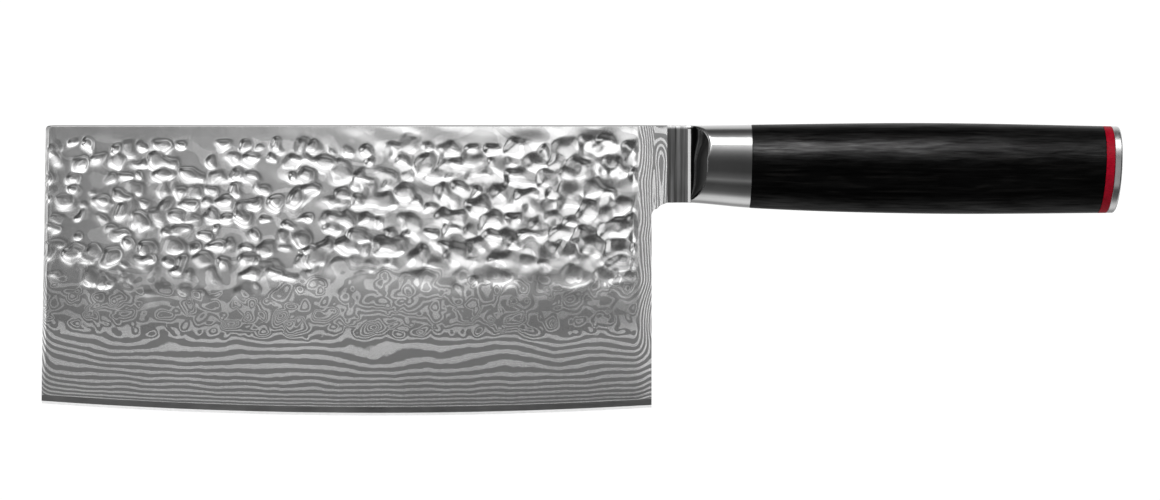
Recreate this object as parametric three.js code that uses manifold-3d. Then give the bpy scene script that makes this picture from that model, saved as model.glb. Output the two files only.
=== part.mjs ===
// Cleaver with a layered, hammered blade, a forged bolster and a laminated wood grip.
// Millimetres, +Z up. The cutting edge faces down, the handle points towards +X.
import * as THREE from "three";
import { mergeVertices } from "three/addons/utils/BufferGeometryUtils.js";
import Module from "manifold-3d";

const wasm = await Module();
wasm.setup();

// Blade
const BLADE_LENGTH = 183; // front end to heel, along the cutting edge
const BLADE_DEPTH = 87; // spine to the lowest point of the edge
const BLADE_THICKNESS = 2.2; // over both claddings
const CORE_THICKNESS = 0.8; // hard steel between the claddings
const EDGE_RADIUS = 1400; // curve of the cutting edge seen from the side
const BELLY_DISTANCE = 101; // front end to the lowest point of the edge
const FRONT_SETBACK = 1.4; // top of the front end behind its foot
const FRONT_CORNER_RADIUS = 1.2; // where the spine meets the front end
const FRONT_CHAMFER_WIDTH = 1.1;
const FRONT_RIM = 0.25; // cladding left at the front end, after its chamfer
const SPINE_CHAMFER = 0.3;
const GRIND_HEIGHT = 38; // edge to the top of the convex grind
const GRIND_FULLNESS = 0.38; // exponent of the convex grind, 1 would be a flat wedge
const MICRO_BEVEL = 0.8; // height of the sharpened facet at the edge

// Hammer marks on both claddings
const HAMMER_MARGIN = 4.6; // plain band under the spine
const HAMMER_DEPTH = 0.17; // deepest mark
const HAMMER_COLUMNS = 28; // marks along the blade
const HAMMER_ROWS = 10; // marks from the plain band to the grind
const HAMMER_SCATTER = 0.8; // how far a mark strays from its even place

// Heel tab, tongue and weld
const TAB_LENGTH = 4.7; // heel to the weld line
const TAB_HEIGHT = 25; // spine to the underside of the tab
const HEEL_FILLET = 1.8;
const TONGUE_LENGTH = 5; // core tongue inside the bolster's neck
const TONGUE_HEIGHT = 12;
const TONGUE_CLEARANCE = 0.06;
const WELD_LINE = 0.05;

// Bolster
const NECK_LENGTH = 6.5; // weld line to the scoops
const NECK_HEIGHT = 23.2;
const NECK_WIDTH = 18.6; // oval that the neck is cut from
const FERRULE_LENGTH = 18.4; // start of the scoops to the grip
const FERRULE_HEIGHT = 25;
const FERRULE_WIDTH = 20.2;
const FERRULE_RISE = 0.25; // top of the ferrule over the spine, at the grip
const FERRULE_LEAN = 1.3; // degrees that the joint leans towards the butt
const SCOOP_REACH = 5; // length of the scoops at the top
const SCOOP_STEP = 0.15; // lip between the neck and the scoops
const SCOOP_LIP = 0.6; // length of that lip's slope

// Grip, spacer and end cap
const GRIP_LENGTH = 104.7;
const GRIP_HEIGHT = 27.2; // at its fullest
const GRIP_WIDTH = 22;
const GRIP_RISE = 0.75; // fullest top over the spine
const BUTT_HEIGHT = 26;
const BUTT_WIDTH = 21.2;
const BUTT_DROP = 0.25; // top of the butt under the spine
const BUTT_LEAN = 3.2; // degrees
const SPACER_THICKNESS = 2.5;
const CAP_THICKNESS = 2.3; // at the rim
const CAP_RIM_RADIUS = 0.7;
const CAP_DOME = 0.5; // rise of the cap's middle over its rim
const GLUE_LINE = 0.05;

// Tang and its fastening
const TANG_HEIGHT = 9; // at the bolster
const TANG_END_HEIGHT = 7; // at the stud
const TANG_THICKNESS = 3;
const TANG_SEAT = 9; // depth of the mortise in the bolster
const TANG_CLEARANCE = 0.2;
const BEDDING_WALL = 0.4; // resin between the tang's corners and the bore
const STUD_DIAMETER = 5;
const STUD_LENGTH = 11; // from the end of the flat bar
const STUD_PROUD = 2.2; // past the nut
const STUD_CLEARANCE = 0.25;
const COUNTERBORE_DEPTH = 10.5;
const SEAT_WIDTH = 1.4; // shoulder that the washer presses on
const WASHER_THICKNESS = 1.2;
const NUT_WALL = 1.5; // stud to the flats of the nut
const NUT_THICKNESS = 4;
const NUT_CLEARANCE = 0.7; // around the corners of the nut
const SPIGOT_WALL = 1.4; // of the end cap's hollow spigot
const SPIGOT_CLEARANCE = 0.5; // end of the spigot to the washer
const FIT = 0.2; // radial gap of parts that are bonded into a bore

const ROUND_SEGMENTS = 32;
const OVAL_SEGMENTS = 40;

// Places along the handle, from the foot of the front end
const heelX = BLADE_LENGTH;
const weldX = heelX + TAB_LENGTH;
const neckX = weldX + WELD_LINE;
const scoopX = neckX + NECK_LENGTH;
const jointX = scoopX + FERRULE_LENGTH;
const gripX = jointX + GLUE_LINE;
const buttX = gripX + GRIP_LENGTH;
const spacerX = buttX + GLUE_LINE;
const capX = spacerX + SPACER_THICKNESS + GLUE_LINE;
const endX = capX + CAP_THICKNESS;
const seatX = buttX - COUNTERBORE_DEPTH;
const fullestX = (gripX + buttX) / 2;

const spineY = BLADE_THICKNESS / 2;
const coreY = CORE_THICKNESS / 2;
const neckMiddleZ = BLADE_DEPTH - NECK_HEIGHT / 2;

// Radii around the tang, from the inside out
const boreRadius = Math.hypot(TANG_HEIGHT / 2 + FIT, TANG_THICKNESS / 2 + FIT) + BEDDING_WALL + FIT;
const nutRadius = (STUD_DIAMETER / 2 + NUT_WALL) / Math.cos(Math.PI / 6);
const spigotRadius = Math.max(boreRadius + SEAT_WIDTH - FIT, nutRadius + NUT_CLEARANCE + SPIGOT_WALL);
const counterboreRadius = spigotRadius + FIT;

// Solids and meshes

function solid(geometry) {
  const bare = new THREE.BufferGeometry();
  bare.setAttribute("position", geometry.getAttribute("position"));
  bare.setIndex(geometry.index);
  const joined = mergeVertices(bare, 1e-5);
  const vertProperties = joined.getAttribute("position").array;
  const triVerts = new Uint32Array(joined.index.array);
  return new wasm.Manifold(new wasm.Mesh({ numProp: 3, vertProperties, triVerts }));
}

function geometryOf(body) {
  const mesh = body.getMesh();
  const geometry = new THREE.BufferGeometry();
  geometry.setAttribute("position", new THREE.BufferAttribute(mesh.vertProperties, 3));
  geometry.setIndex(new THREE.BufferAttribute(mesh.triVerts, 1));
  geometry.computeVertexNormals();
  return geometry;
}

// Skin over rings of equal count that run counterclockwise seen from the far end of the loft.
function loft(rings, flatten) {
  const count = rings[0].length;
  const positions = rings.flat().flatMap((p) => [p.x, p.y, p.z]);
  const triangles = [];
  for (let r = 0; r + 1 < rings.length; r += 1) {
    for (let k = 0; k < count; k += 1) {
      const next = (k + 1) % count;
      const [a, b] = [r * count + k, r * count + next];
      const [c, d] = [b + count, a + count];
      triangles.push(a, b, c, a, c, d);
    }
  }
  const last = (rings.length - 1) * count;
  for (const [a, b, c] of THREE.ShapeUtils.triangulateShape(rings[0].map(flatten), [])) {
    triangles.push(c, b, a);
  }
  for (const [a, b, c] of THREE.ShapeUtils.triangulateShape(rings.at(-1).map(flatten), [])) {
    triangles.push(last + a, last + b, last + c);
  }
  const geometry = new THREE.BufferGeometry();
  geometry.setAttribute("position", new THREE.Float32BufferAttribute(positions, 3));
  geometry.setIndex(triangles);
  return solid(geometry);
}

const alongX = (p) => new THREE.Vector2(p.y, p.z);
const alongZ = (p) => new THREE.Vector2(p.x, p.y);

// Ring of (y, z) corners at one station, mirrored to the other side of the blade when side is -1.
function sideRing(corners, side, placeX) {
  const ring = corners.map(([y, z], k) => new THREE.Vector3(placeX(z, k), side * y, z));
  return side > 0 ? ring : ring.reverse();
}

function rod(radius, fromX, toX, z, segments = ROUND_SEGMENTS) {
  const geometry = new THREE.CylinderGeometry(radius, radius, toX - fromX, segments);
  geometry.rotateZ(-Math.PI / 2);
  geometry.translate((fromX + toX) / 2, 0, z);
  return solid(geometry);
}

function block(fromX, toX, thickness, fromZ, toZ) {
  const geometry = new THREE.BoxGeometry(toX - fromX, thickness, toZ - fromZ);
  geometry.translate((fromX + toX) / 2, 0, (fromZ + toZ) / 2);
  return solid(geometry);
}

// Plate with its outline in the XZ plane, centred on y = 0.
function plate(outline, thickness) {
  const shape = new THREE.Shape(outline.map(([x, z]) => new THREE.Vector2(x, z)));
  const geometry = new THREE.ExtrudeGeometry(shape, { depth: thickness, bevelEnabled: false });
  geometry.rotateX(Math.PI / 2);
  geometry.translate(0, thickness / 2, 0);
  return solid(geometry);
}

// Blade form

function edgeZ(x) {
  const reach = x - BELLY_DISTANCE;
  return EDGE_RADIUS - Math.sqrt(EDGE_RADIUS ** 2 - reach ** 2);
}

function frontX(z) {
  return (FRONT_SETBACK * z) / BLADE_DEPTH;
}

// Half thickness of the ground blade at a height over the edge.
function grindY(height) {
  return spineY * (Math.min(height, GRIND_HEIGHT) / GRIND_HEIGHT) ** GRIND_FULLNESS;
}

const coreLine = GRIND_HEIGHT * (CORE_THICKNESS / BLADE_THICKNESS) ** (1 / GRIND_FULLNESS);

// Even but irregular number from 0 to 1 for a place in the hammer pattern.
function scatter(column, row) {
  const wave = Math.sin(column * 12.9898 + row * 78.233) * 43758.5453;
  return wave - Math.floor(wave);
}

// Depth of the hammered face at a grid point. Marks sit on every second point, in staggered rows.
function hammerDepth(column, row, side) {
  const inside = column > 0 && column < 2 * HAMMER_COLUMNS && row > 0 && row < 2 * HAMMER_ROWS;
  const onMark = column % 2 === 1 && row % 2 === ((column - 1) / 2) % 2;
  if (!inside || !onMark) {
    return 0;
  }
  const fade = Math.min(1, (row + 1) / HAMMER_ROWS);
  return HAMMER_DEPTH * fade * (0.55 + 0.45 * scatter(column + 7 * side, row));
}

function hammerShift(column, row, side) {
  return hammerDepth(column, row, side) > 0
    ? HAMMER_SCATTER * (scatter(row - side, column) - 0.5) * 2
    : 0;
}

// Stations from the front end to the heel: the front chamfer, then the columns of hammer marks.
function bladeStations() {
  const chamfer = FRONT_CHAMFER_WIDTH / BLADE_LENGTH;
  const stations = [{ share: 0, column: 0, chamfered: true }];
  for (let column = 0; column <= 2 * HAMMER_COLUMNS; column += 1) {
    const share = chamfer + ((1 - chamfer) * column) / (2 * HAMMER_COLUMNS);
    stations.push({ share, column, chamfered: false });
  }
  return stations;
}

const stationX = (share, z) => THREE.MathUtils.lerp(frontX(z), heelX, share);

function claddingRing({ share, column, chamfered }, side) {
  const foot = edgeZ(heelX * share);
  const corners = [];
  const shifts = [];
  const add = (y, z, shift = 0) => {
    const depth = chamfered ? (FRONT_RIM * (y - coreY)) / (spineY - coreY) : y - coreY;
    corners.push([coreY + depth, z]);
    shifts.push(shift);
  };
  const grindSteps = 7;
  for (let k = 0; k < grindSteps; k += 1) {
    const height = coreLine * (GRIND_HEIGHT / coreLine) ** (k / grindSteps);
    add(grindY(height), foot + height);
  }
  const lowest = foot + GRIND_HEIGHT;
  const highest = BLADE_DEPTH - HAMMER_MARGIN;
  for (let row = 0; row <= 2 * HAMMER_ROWS; row += 1) {
    const z = THREE.MathUtils.lerp(lowest, highest, row / (2 * HAMMER_ROWS));
    add(spineY - hammerDepth(column, row, side), z, hammerShift(column, row, side));
  }
  add(spineY, BLADE_DEPTH - SPINE_CHAMFER);
  add(spineY - SPINE_CHAMFER, BLADE_DEPTH);
  add(coreY, BLADE_DEPTH);
  return sideRing(corners, side, (z, k) => stationX(share, z) + shifts[k]);
}

// Underside of the heel tab: the fillet in the corner, then a rise to the bolster's neck.
function tabUnderside() {
  const steps = 6;
  const tabZ = BLADE_DEPTH - TAB_HEIGHT;
  const places = [{ x: heelX - TAB_LENGTH, z: tabZ - HEEL_FILLET }];
  for (let k = 0; k <= steps; k += 1) {
    const turn = (k / steps) * (Math.PI / 2);
    const x = heelX + HEEL_FILLET * (1 - Math.cos(turn));
    places.push({ x, z: tabZ - HEEL_FILLET * (1 - Math.sin(turn)) });
  }
  for (let k = 1; k <= steps; k += 1) {
    const share = k / steps;
    const x = THREE.MathUtils.lerp(heelX + HEEL_FILLET, weldX, share);
    places.push({ x, z: THREE.MathUtils.lerp(tabZ, BLADE_DEPTH - NECK_HEIGHT, Math.sqrt(share)) });
  }
  return places;
}

// Takes the sharp point off the corner between the spine and the front end.
function frontCornerCut() {
  const [r, x] = [FRONT_CORNER_RADIUS, frontX(BLADE_DEPTH)];
  const outline = [[x - r, BLADE_DEPTH - r]];
  const steps = 6;
  for (let k = 0; k <= steps; k += 1) {
    const turn = Math.PI - (k / steps) * (Math.PI / 2);
    outline.push([x + r + r * Math.cos(turn), BLADE_DEPTH - r + r * Math.sin(turn)]);
  }
  outline.push([x + r, BLADE_DEPTH + r], [x - r, BLADE_DEPTH + r]);
  return plate(outline, 3 * BLADE_THICKNESS);
}

function cladding(side) {
  const body = loft(bladeStations().map((station) => claddingRing(station, side)), alongX);
  const tab = loft(
    tabUnderside().map(({ x, z }) => {
      const corners = [
        [coreY, z],
        [spineY, z],
        [spineY, BLADE_DEPTH - SPINE_CHAMFER],
        [spineY - SPINE_CHAMFER, BLADE_DEPTH],
        [coreY, BLADE_DEPTH],
      ];
      return sideRing(corners, side, () => x);
    }),
    alongX,
  );
  return body.add(tab).subtract(frontCornerCut());
}

function bladeCore() {
  const edgeSteps = 24;
  const rings = [];
  for (let k = 0; k <= edgeSteps; k += 1) {
    const share = k / edgeSteps;
    const foot = edgeZ(heelX * share);
    const flank = [
      [grindY(MICRO_BEVEL), foot + MICRO_BEVEL],
      [coreY, foot + coreLine],
      [coreY, BLADE_DEPTH],
    ];
    const mirrored = flank.map(([y, z]) => [-y, z]).reverse();
    rings.push(sideRing([[0, foot], ...flank, ...mirrored], 1, (z) => stationX(share, z)));
  }
  const underside = tabUnderside();
  const tabOutline = underside.map(({ x, z }) => [x, z]);
  tabOutline.push([weldX, BLADE_DEPTH], [underside[0].x, BLADE_DEPTH]);
  const tongue = block(
    heelX,
    weldX + TONGUE_LENGTH,
    CORE_THICKNESS,
    neckMiddleZ - TONGUE_HEIGHT / 2,
    neckMiddleZ + TONGUE_HEIGHT / 2,
  );
  return loft(rings, alongX)
    .add(plate(tabOutline, CORE_THICKNESS))
    .add(tongue)
    .subtract(frontCornerCut());
}

// Handle form: top line, height and width of the oval, smooth from the neck to the butt.
const handleLine = new THREE.CubicInterpolant(
  [neckX, scoopX, jointX, fullestX, endX],
  [
    [BLADE_DEPTH, NECK_HEIGHT, NECK_WIDTH],
    [BLADE_DEPTH, NECK_HEIGHT, NECK_WIDTH],
    [BLADE_DEPTH + FERRULE_RISE, FERRULE_HEIGHT, FERRULE_WIDTH],
    [BLADE_DEPTH + GRIP_RISE, GRIP_HEIGHT, GRIP_WIDTH],
    [BLADE_DEPTH - BUTT_DROP, BUTT_HEIGHT, BUTT_WIDTH],
  ].flat(),
  3,
);

function ovalRing(x, leanDegrees, inset = 0, share = 1) {
  const [top, height, width] = handleLine.evaluate(Math.min(x, endX));
  const middleZ = top - height / 2;
  const slope = Math.tan(THREE.MathUtils.degToRad(leanDegrees));
  const ring = [];
  for (let k = 0; k < OVAL_SEGMENTS; k += 1) {
    const turn = (k / OVAL_SEGMENTS) * 2 * Math.PI;
    const rise = (height / 2 - inset) * share * Math.sin(turn);
    const y = (width / 2 - inset) * share * Math.cos(turn);
    ring.push(new THREE.Vector3(x + rise * slope, y, middleZ + rise));
  }
  return ring;
}

function ovalBody(fromX, toX, fromLean, toLean, steps) {
  const rings = [];
  for (let k = 0; k <= steps; k += 1) {
    const share = k / steps;
    const lean = THREE.MathUtils.lerp(fromLean, toLean, share);
    rings.push(ovalRing(THREE.MathUtils.lerp(fromX, toX, share), lean));
  }
  return loft(rings, alongX);
}

const [fullestTop, fullestHeight] = handleLine.evaluate(fullestX);
const boreZ = fullestTop - fullestHeight / 2;

// Cutter for one scooped cheek. It is longest at the top and dies out at the bottom of the neck.
function scoop(side) {
  const outY = Math.max(NECK_WIDTH, FERRULE_WIDTH) / 2 + 1;
  const [levels, arcSteps] = [14, 9];
  const rings = [];
  for (let level = 0; level <= levels; level += 1) {
    const drop = level / levels;
    const reach = Math.max(SCOOP_REACH * (1 - drop ** 4), SCOOP_LIP / 2);
    const corners = [
      [neckX - TAB_LENGTH, spineY],
      [scoopX - SCOOP_LIP, spineY],
    ];
    for (let k = 0; k <= arcSteps; k += 1) {
      const turn = (k / arcSteps) * (Math.PI / 2);
      const floorY = spineY - SCOOP_STEP;
      const y = floorY + (outY - floorY) * (1 - Math.cos(turn));
      corners.push([scoopX + reach * Math.sin(turn), y]);
    }
    corners.push([neckX - TAB_LENGTH, outY]);
    const z = BLADE_DEPTH + 1 - drop * (NECK_HEIGHT + 2);
    const ring = corners.map(([x, y]) => new THREE.Vector3(x, side * y, z));
    rings.unshift(side > 0 ? ring : ring.reverse());
  }
  return loft(rings, alongZ);
}

function bolster() {
  const slot = block(
    neckX - TAB_LENGTH,
    neckX + TONGUE_LENGTH,
    CORE_THICKNESS + 2 * TONGUE_CLEARANCE,
    neckMiddleZ - TONGUE_HEIGHT / 2 - TONGUE_CLEARANCE,
    neckMiddleZ + TONGUE_HEIGHT / 2 + TONGUE_CLEARANCE,
  );
  const mortise = block(
    jointX - TANG_SEAT,
    jointX + TANG_SEAT,
    TANG_THICKNESS + 2 * TANG_CLEARANCE,
    boreZ - TANG_HEIGHT / 2 - TANG_CLEARANCE,
    boreZ + TANG_HEIGHT / 2 + TANG_CLEARANCE,
  );
  return ovalBody(neckX, jointX, 0, FERRULE_LEAN, 12)
    .subtract(scoop(1))
    .subtract(scoop(-1))
    .subtract(slot)
    .subtract(mortise);
}

// Flat bar with a round stud. The clearance makes the same form larger, as the hollow around it.
function tang(clearance = 0) {
  const fromX = jointX - TANG_SEAT + TANG_CLEARANCE;
  const studEnd = seatX + WASHER_THICKNESS + NUT_THICKNESS + STUD_PROUD;
  const barEnd = studEnd - STUD_LENGTH;
  const [front, rear] = [TANG_HEIGHT / 2 + clearance, TANG_END_HEIGHT / 2 + clearance];
  const outline = [
    [fromX, boreZ - front],
    [jointX, boreZ - front],
    [barEnd + clearance, boreZ - rear],
    [barEnd + clearance, boreZ + rear],
    [jointX, boreZ + front],
    [fromX, boreZ + front],
  ];
  const stud = rod(STUD_DIAMETER / 2 + clearance, barEnd - STUD_DIAMETER / 2, studEnd, boreZ);
  return plate(outline, TANG_THICKNESS + 2 * clearance).add(stud);
}

function tangBedding() {
  const cast = rod(boreRadius - FIT, gripX + 2 * FIT, seatX, boreZ);
  return cast.subtract(tang(FIT));
}

function grip() {
  const bore = rod(boreRadius, gripX - 2, buttX, boreZ);
  const counterbore = rod(counterboreRadius, seatX, buttX + 2, boreZ);
  return ovalBody(gripX, buttX, FERRULE_LEAN, BUTT_LEAN, 18).subtract(bore).subtract(counterbore);
}

const studHole = () => rod(STUD_DIAMETER / 2 + STUD_CLEARANCE, seatX - 1, endX, boreZ);

function clampWasher() {
  return rod(spigotRadius, seatX, seatX + WASHER_THICKNESS, boreZ).subtract(studHole());
}

function clampNut() {
  const fromX = seatX + WASHER_THICKNESS;
  return rod(nutRadius, fromX, fromX + NUT_THICKNESS, boreZ, 6).subtract(studHole());
}

function spacerRing() {
  const hole = rod(counterboreRadius, spacerX - 2, capX + 2, boreZ);
  const body = ovalBody(spacerX, spacerX + SPACER_THICKNESS, BUTT_LEAN, BUTT_LEAN, 2);
  return body.subtract(hole);
}

// Domed oval plate with a rounded rim and a hollow spigot that reaches into the counterbore.
function endCap() {
  const rings = [ovalRing(capX, BUTT_LEAN)];
  const rimSteps = 4;
  for (let k = 0; k <= rimSteps; k += 1) {
    const turn = (k / rimSteps) * (Math.PI / 2);
    const x = endX - CAP_RIM_RADIUS * (1 - Math.sin(turn));
    rings.push(ovalRing(x, BUTT_LEAN, CAP_RIM_RADIUS * (1 - Math.cos(turn))));
  }
  for (const share of [0.75, 0.5, 0.25, 0.05]) {
    rings.push(ovalRing(endX + CAP_DOME * (1 - share ** 2), BUTT_LEAN, CAP_RIM_RADIUS, share));
  }
  const spigotX = seatX + WASHER_THICKNESS + SPIGOT_CLEARANCE;
  const spigot = rod(spigotRadius, spigotX, capX + CAP_THICKNESS / 2, boreZ);
  const hollow = rod(spigotRadius - SPIGOT_WALL, spigotX - 1, capX, boreZ);
  return loft(rings, alongX).add(spigot).subtract(hollow);
}

// Assembly

const finishes = {
  layered_steel: { color: 0x8f9195, roughness: 0.38, metalness: 1 },
  core_steel: { color: 0x6d6f73, roughness: 0.3, metalness: 1 },
  polished_steel: { color: 0xb9bbbe, roughness: 0.16, metalness: 1 },
  plain_steel: { color: 0x9a9ca0, roughness: 0.45, metalness: 1 },
  black_wood: { color: 0x17130f, roughness: 0.42, metalness: 0 },
  red_fibre: { color: 0x8c0a1c, roughness: 0.45, metalness: 0 },
  resin: { color: 0x6a5a3a, roughness: 0.5, metalness: 0 },
};

const pieces = [
  ["blade_core", bladeCore(), finishes.core_steel],
  ["near_cladding", cladding(-1), finishes.layered_steel],
  ["far_cladding", cladding(1), finishes.layered_steel],
  ["bolster", bolster(), finishes.polished_steel],
  ["tang", tang(), finishes.plain_steel],
  ["tang_bedding", tangBedding(), finishes.resin],
  ["grip", grip(), finishes.black_wood],
  ["clamp_washer", clampWasher(), finishes.plain_steel],
  ["clamp_nut", clampNut(), finishes.plain_steel],
  ["spacer_ring", spacerRing(), finishes.red_fibre],
  ["end_cap", endCap(), finishes.polished_steel],
];

const cleaver = new THREE.Group();
cleaver.name = "cleaver";
for (const [name, body, finish] of pieces) {
  const mesh = new THREE.Mesh(geometryOf(body), new THREE.MeshStandardMaterial(finish));
  mesh.name = name;
  cleaver.add(mesh);
}

// The origin is the middle of the length, on the board under the belly of the edge.
const length = new THREE.Box3().setFromObject(cleaver);
for (const mesh of cleaver.children) {
  mesh.geometry.translate(-(length.min.x + length.max.x) / 2, 0, 0);
}

export default cleaver;
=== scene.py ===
import logging
import math
from dataclasses import dataclass, field
from enum import Enum

import bpy
import numpy as np
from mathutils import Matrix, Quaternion, Vector


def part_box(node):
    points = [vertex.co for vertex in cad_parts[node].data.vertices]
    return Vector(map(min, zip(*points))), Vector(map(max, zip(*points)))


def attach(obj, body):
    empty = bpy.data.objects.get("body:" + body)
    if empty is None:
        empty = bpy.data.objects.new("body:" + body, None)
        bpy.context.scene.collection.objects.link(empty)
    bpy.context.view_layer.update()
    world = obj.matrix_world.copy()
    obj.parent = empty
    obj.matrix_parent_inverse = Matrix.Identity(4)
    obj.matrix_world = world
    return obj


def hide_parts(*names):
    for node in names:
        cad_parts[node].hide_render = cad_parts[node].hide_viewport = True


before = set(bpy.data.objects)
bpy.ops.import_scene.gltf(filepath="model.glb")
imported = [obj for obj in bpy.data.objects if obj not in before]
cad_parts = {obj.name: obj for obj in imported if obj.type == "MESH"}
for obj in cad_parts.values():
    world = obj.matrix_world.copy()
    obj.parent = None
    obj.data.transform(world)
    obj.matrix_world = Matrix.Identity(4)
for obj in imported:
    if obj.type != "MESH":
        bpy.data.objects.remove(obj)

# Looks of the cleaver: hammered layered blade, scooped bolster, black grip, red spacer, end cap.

MM = 0.001  # lengths in the classes are in millimetres, Blender's are in metres
FULL_TURN = 2.0 * math.pi
PAST = 5.0  # how far a cutting form reaches past the end of a piece
USUAL = (0.3, 0.7)  # where most of a cloudy pattern lies
LOG = logging.getLogger("cleaver")

Array = np.ndarray
Pair = tuple[float, float]
Triple = tuple[float, float, float]
Colour = tuple[float, float, float, float]
Waves = tuple[int, float, float]  # number of a random draw, lengths along and up
Limits = tuple[float, float, float, float]
Form = tuple[Array, list]  # corners and faces of a closed form
Finish = bpy.types.Material
Piece = bpy.types.Object
Socket = bpy.types.NodeSocket
Signal = Socket | float | Triple | Colour  # what an input of a node follows or holds


class Side(Enum):
    """The two faces of the blade, by their sign across it: near is turned to the camera."""

    NEAR = -1
    FAR = 1

    @property
    def seed(self) -> int:
        """Start of the random draws for this face."""
        return 40 if self is Side.NEAR else 70


class Slot(Enum):
    """Material slots of the part's record."""

    LAYERED_STEEL = "layered_steel"
    CORE_STEEL = "core_steel"
    POLISHED_STEEL = "polished_steel"
    PLAIN_STEEL = "plain_steel"
    BLACK_WOOD = "black_wood"
    RED_FIBRE = "red_fibre"
    RESIN = "resin"


class Work(Enum):
    """Ways to work a form into a piece."""

    CUT = "DIFFERENCE"
    JOIN = "UNION"


# Small mathematics


def smoothstep(low: float, high: float, value: Array) -> Array:
    """Ease from 0 at low to 1 at high.

    Args:
        low: Value where the ease starts.
        high: Value where it ends, which may be the smaller one.
        value: Places to evaluate.

    Returns:
        The eased share at each place.
    """
    share = np.clip((value - low) / (high - low), 0.0, 1.0)
    return share * share * (3.0 - 2.0 * share)


def soft_min(a: Array, b: Array, reach: Array) -> Array:
    """Smaller of two heights with a rounded meeting line.

    Args:
        a: First heights.
        b: Second heights.
        reach: Width of the rounding.

    Returns:
        The blended heights.
    """
    share = np.clip(0.5 + 0.5 * (b - a) / reach, 0.0, 1.0)
    return b + (a - b) * share - reach * share * (1.0 - share)


def cad_limits(node: str) -> tuple[Array, Array]:
    """Low and high corner of a CAD node's box, in millimetres."""
    low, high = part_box(node)
    return np.array(low) / MM, np.array(high) / MM


@dataclass(frozen=True)
class Ripples:
    """Slow irregular waves over the face, as a sum of plane waves."""

    seed: int
    length_x: float
    length_z: float
    count: int = 14
    paces: Pair = (0.6, 1.4)

    def at(self, x: Array, z: Array) -> Array:
        """Height of the waves.

        Args:
            x: Places along the blade, in millimetres.
            z: Heights of the places, in millimetres.

        Returns:
            Values of about -1 to 1.
        """
        rng = np.random.default_rng(self.seed)
        total = np.zeros_like(x)
        for _ in range(self.count):
            turn, phase = rng.uniform(0.0, FULL_TURN, 2)
            pace = FULL_TURN * rng.uniform(*self.paces)
            along = np.cos(turn) * x / self.length_x + np.sin(turn) * z / self.length_z
            total += np.sin(pace * along + phase)
        return total / math.sqrt(self.count)


@dataclass(frozen=True)
class Mark:
    """One struck dish: its middle, its form, and the share of it that the grinding left."""

    x: float
    z: float
    radius: float
    stretch: float
    turn: float
    depth: float
    up: float
    tip: float
    left: float

    def bowl(self, dx: Array, dz: Array, power: float) -> Array:
        """Depth of the dish, which is steeper on its upper side.

        Args:
            dx: Places along the blade, from the middle of the dish.
            dz: Heights of the places, from the middle of the dish.
            power: How softly the rim runs out.

        Returns:
            The depth at each place.
        """
        cos, sin = math.cos(self.turn), math.sin(self.turn)
        along = (cos * dx + sin * dz) / (self.radius * self.stretch)
        across = (cos * dz - sin * dx) / self.radius
        even = self.depth * np.clip(1.0 - along**2 - across**2, 0.0, None) ** power
        tilt = (math.sin(self.up) * dx / self.stretch + math.cos(self.up) * dz) / self.radius
        return even * np.exp(self.tip * np.clip(tilt, -1.0, 1.0))


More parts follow.
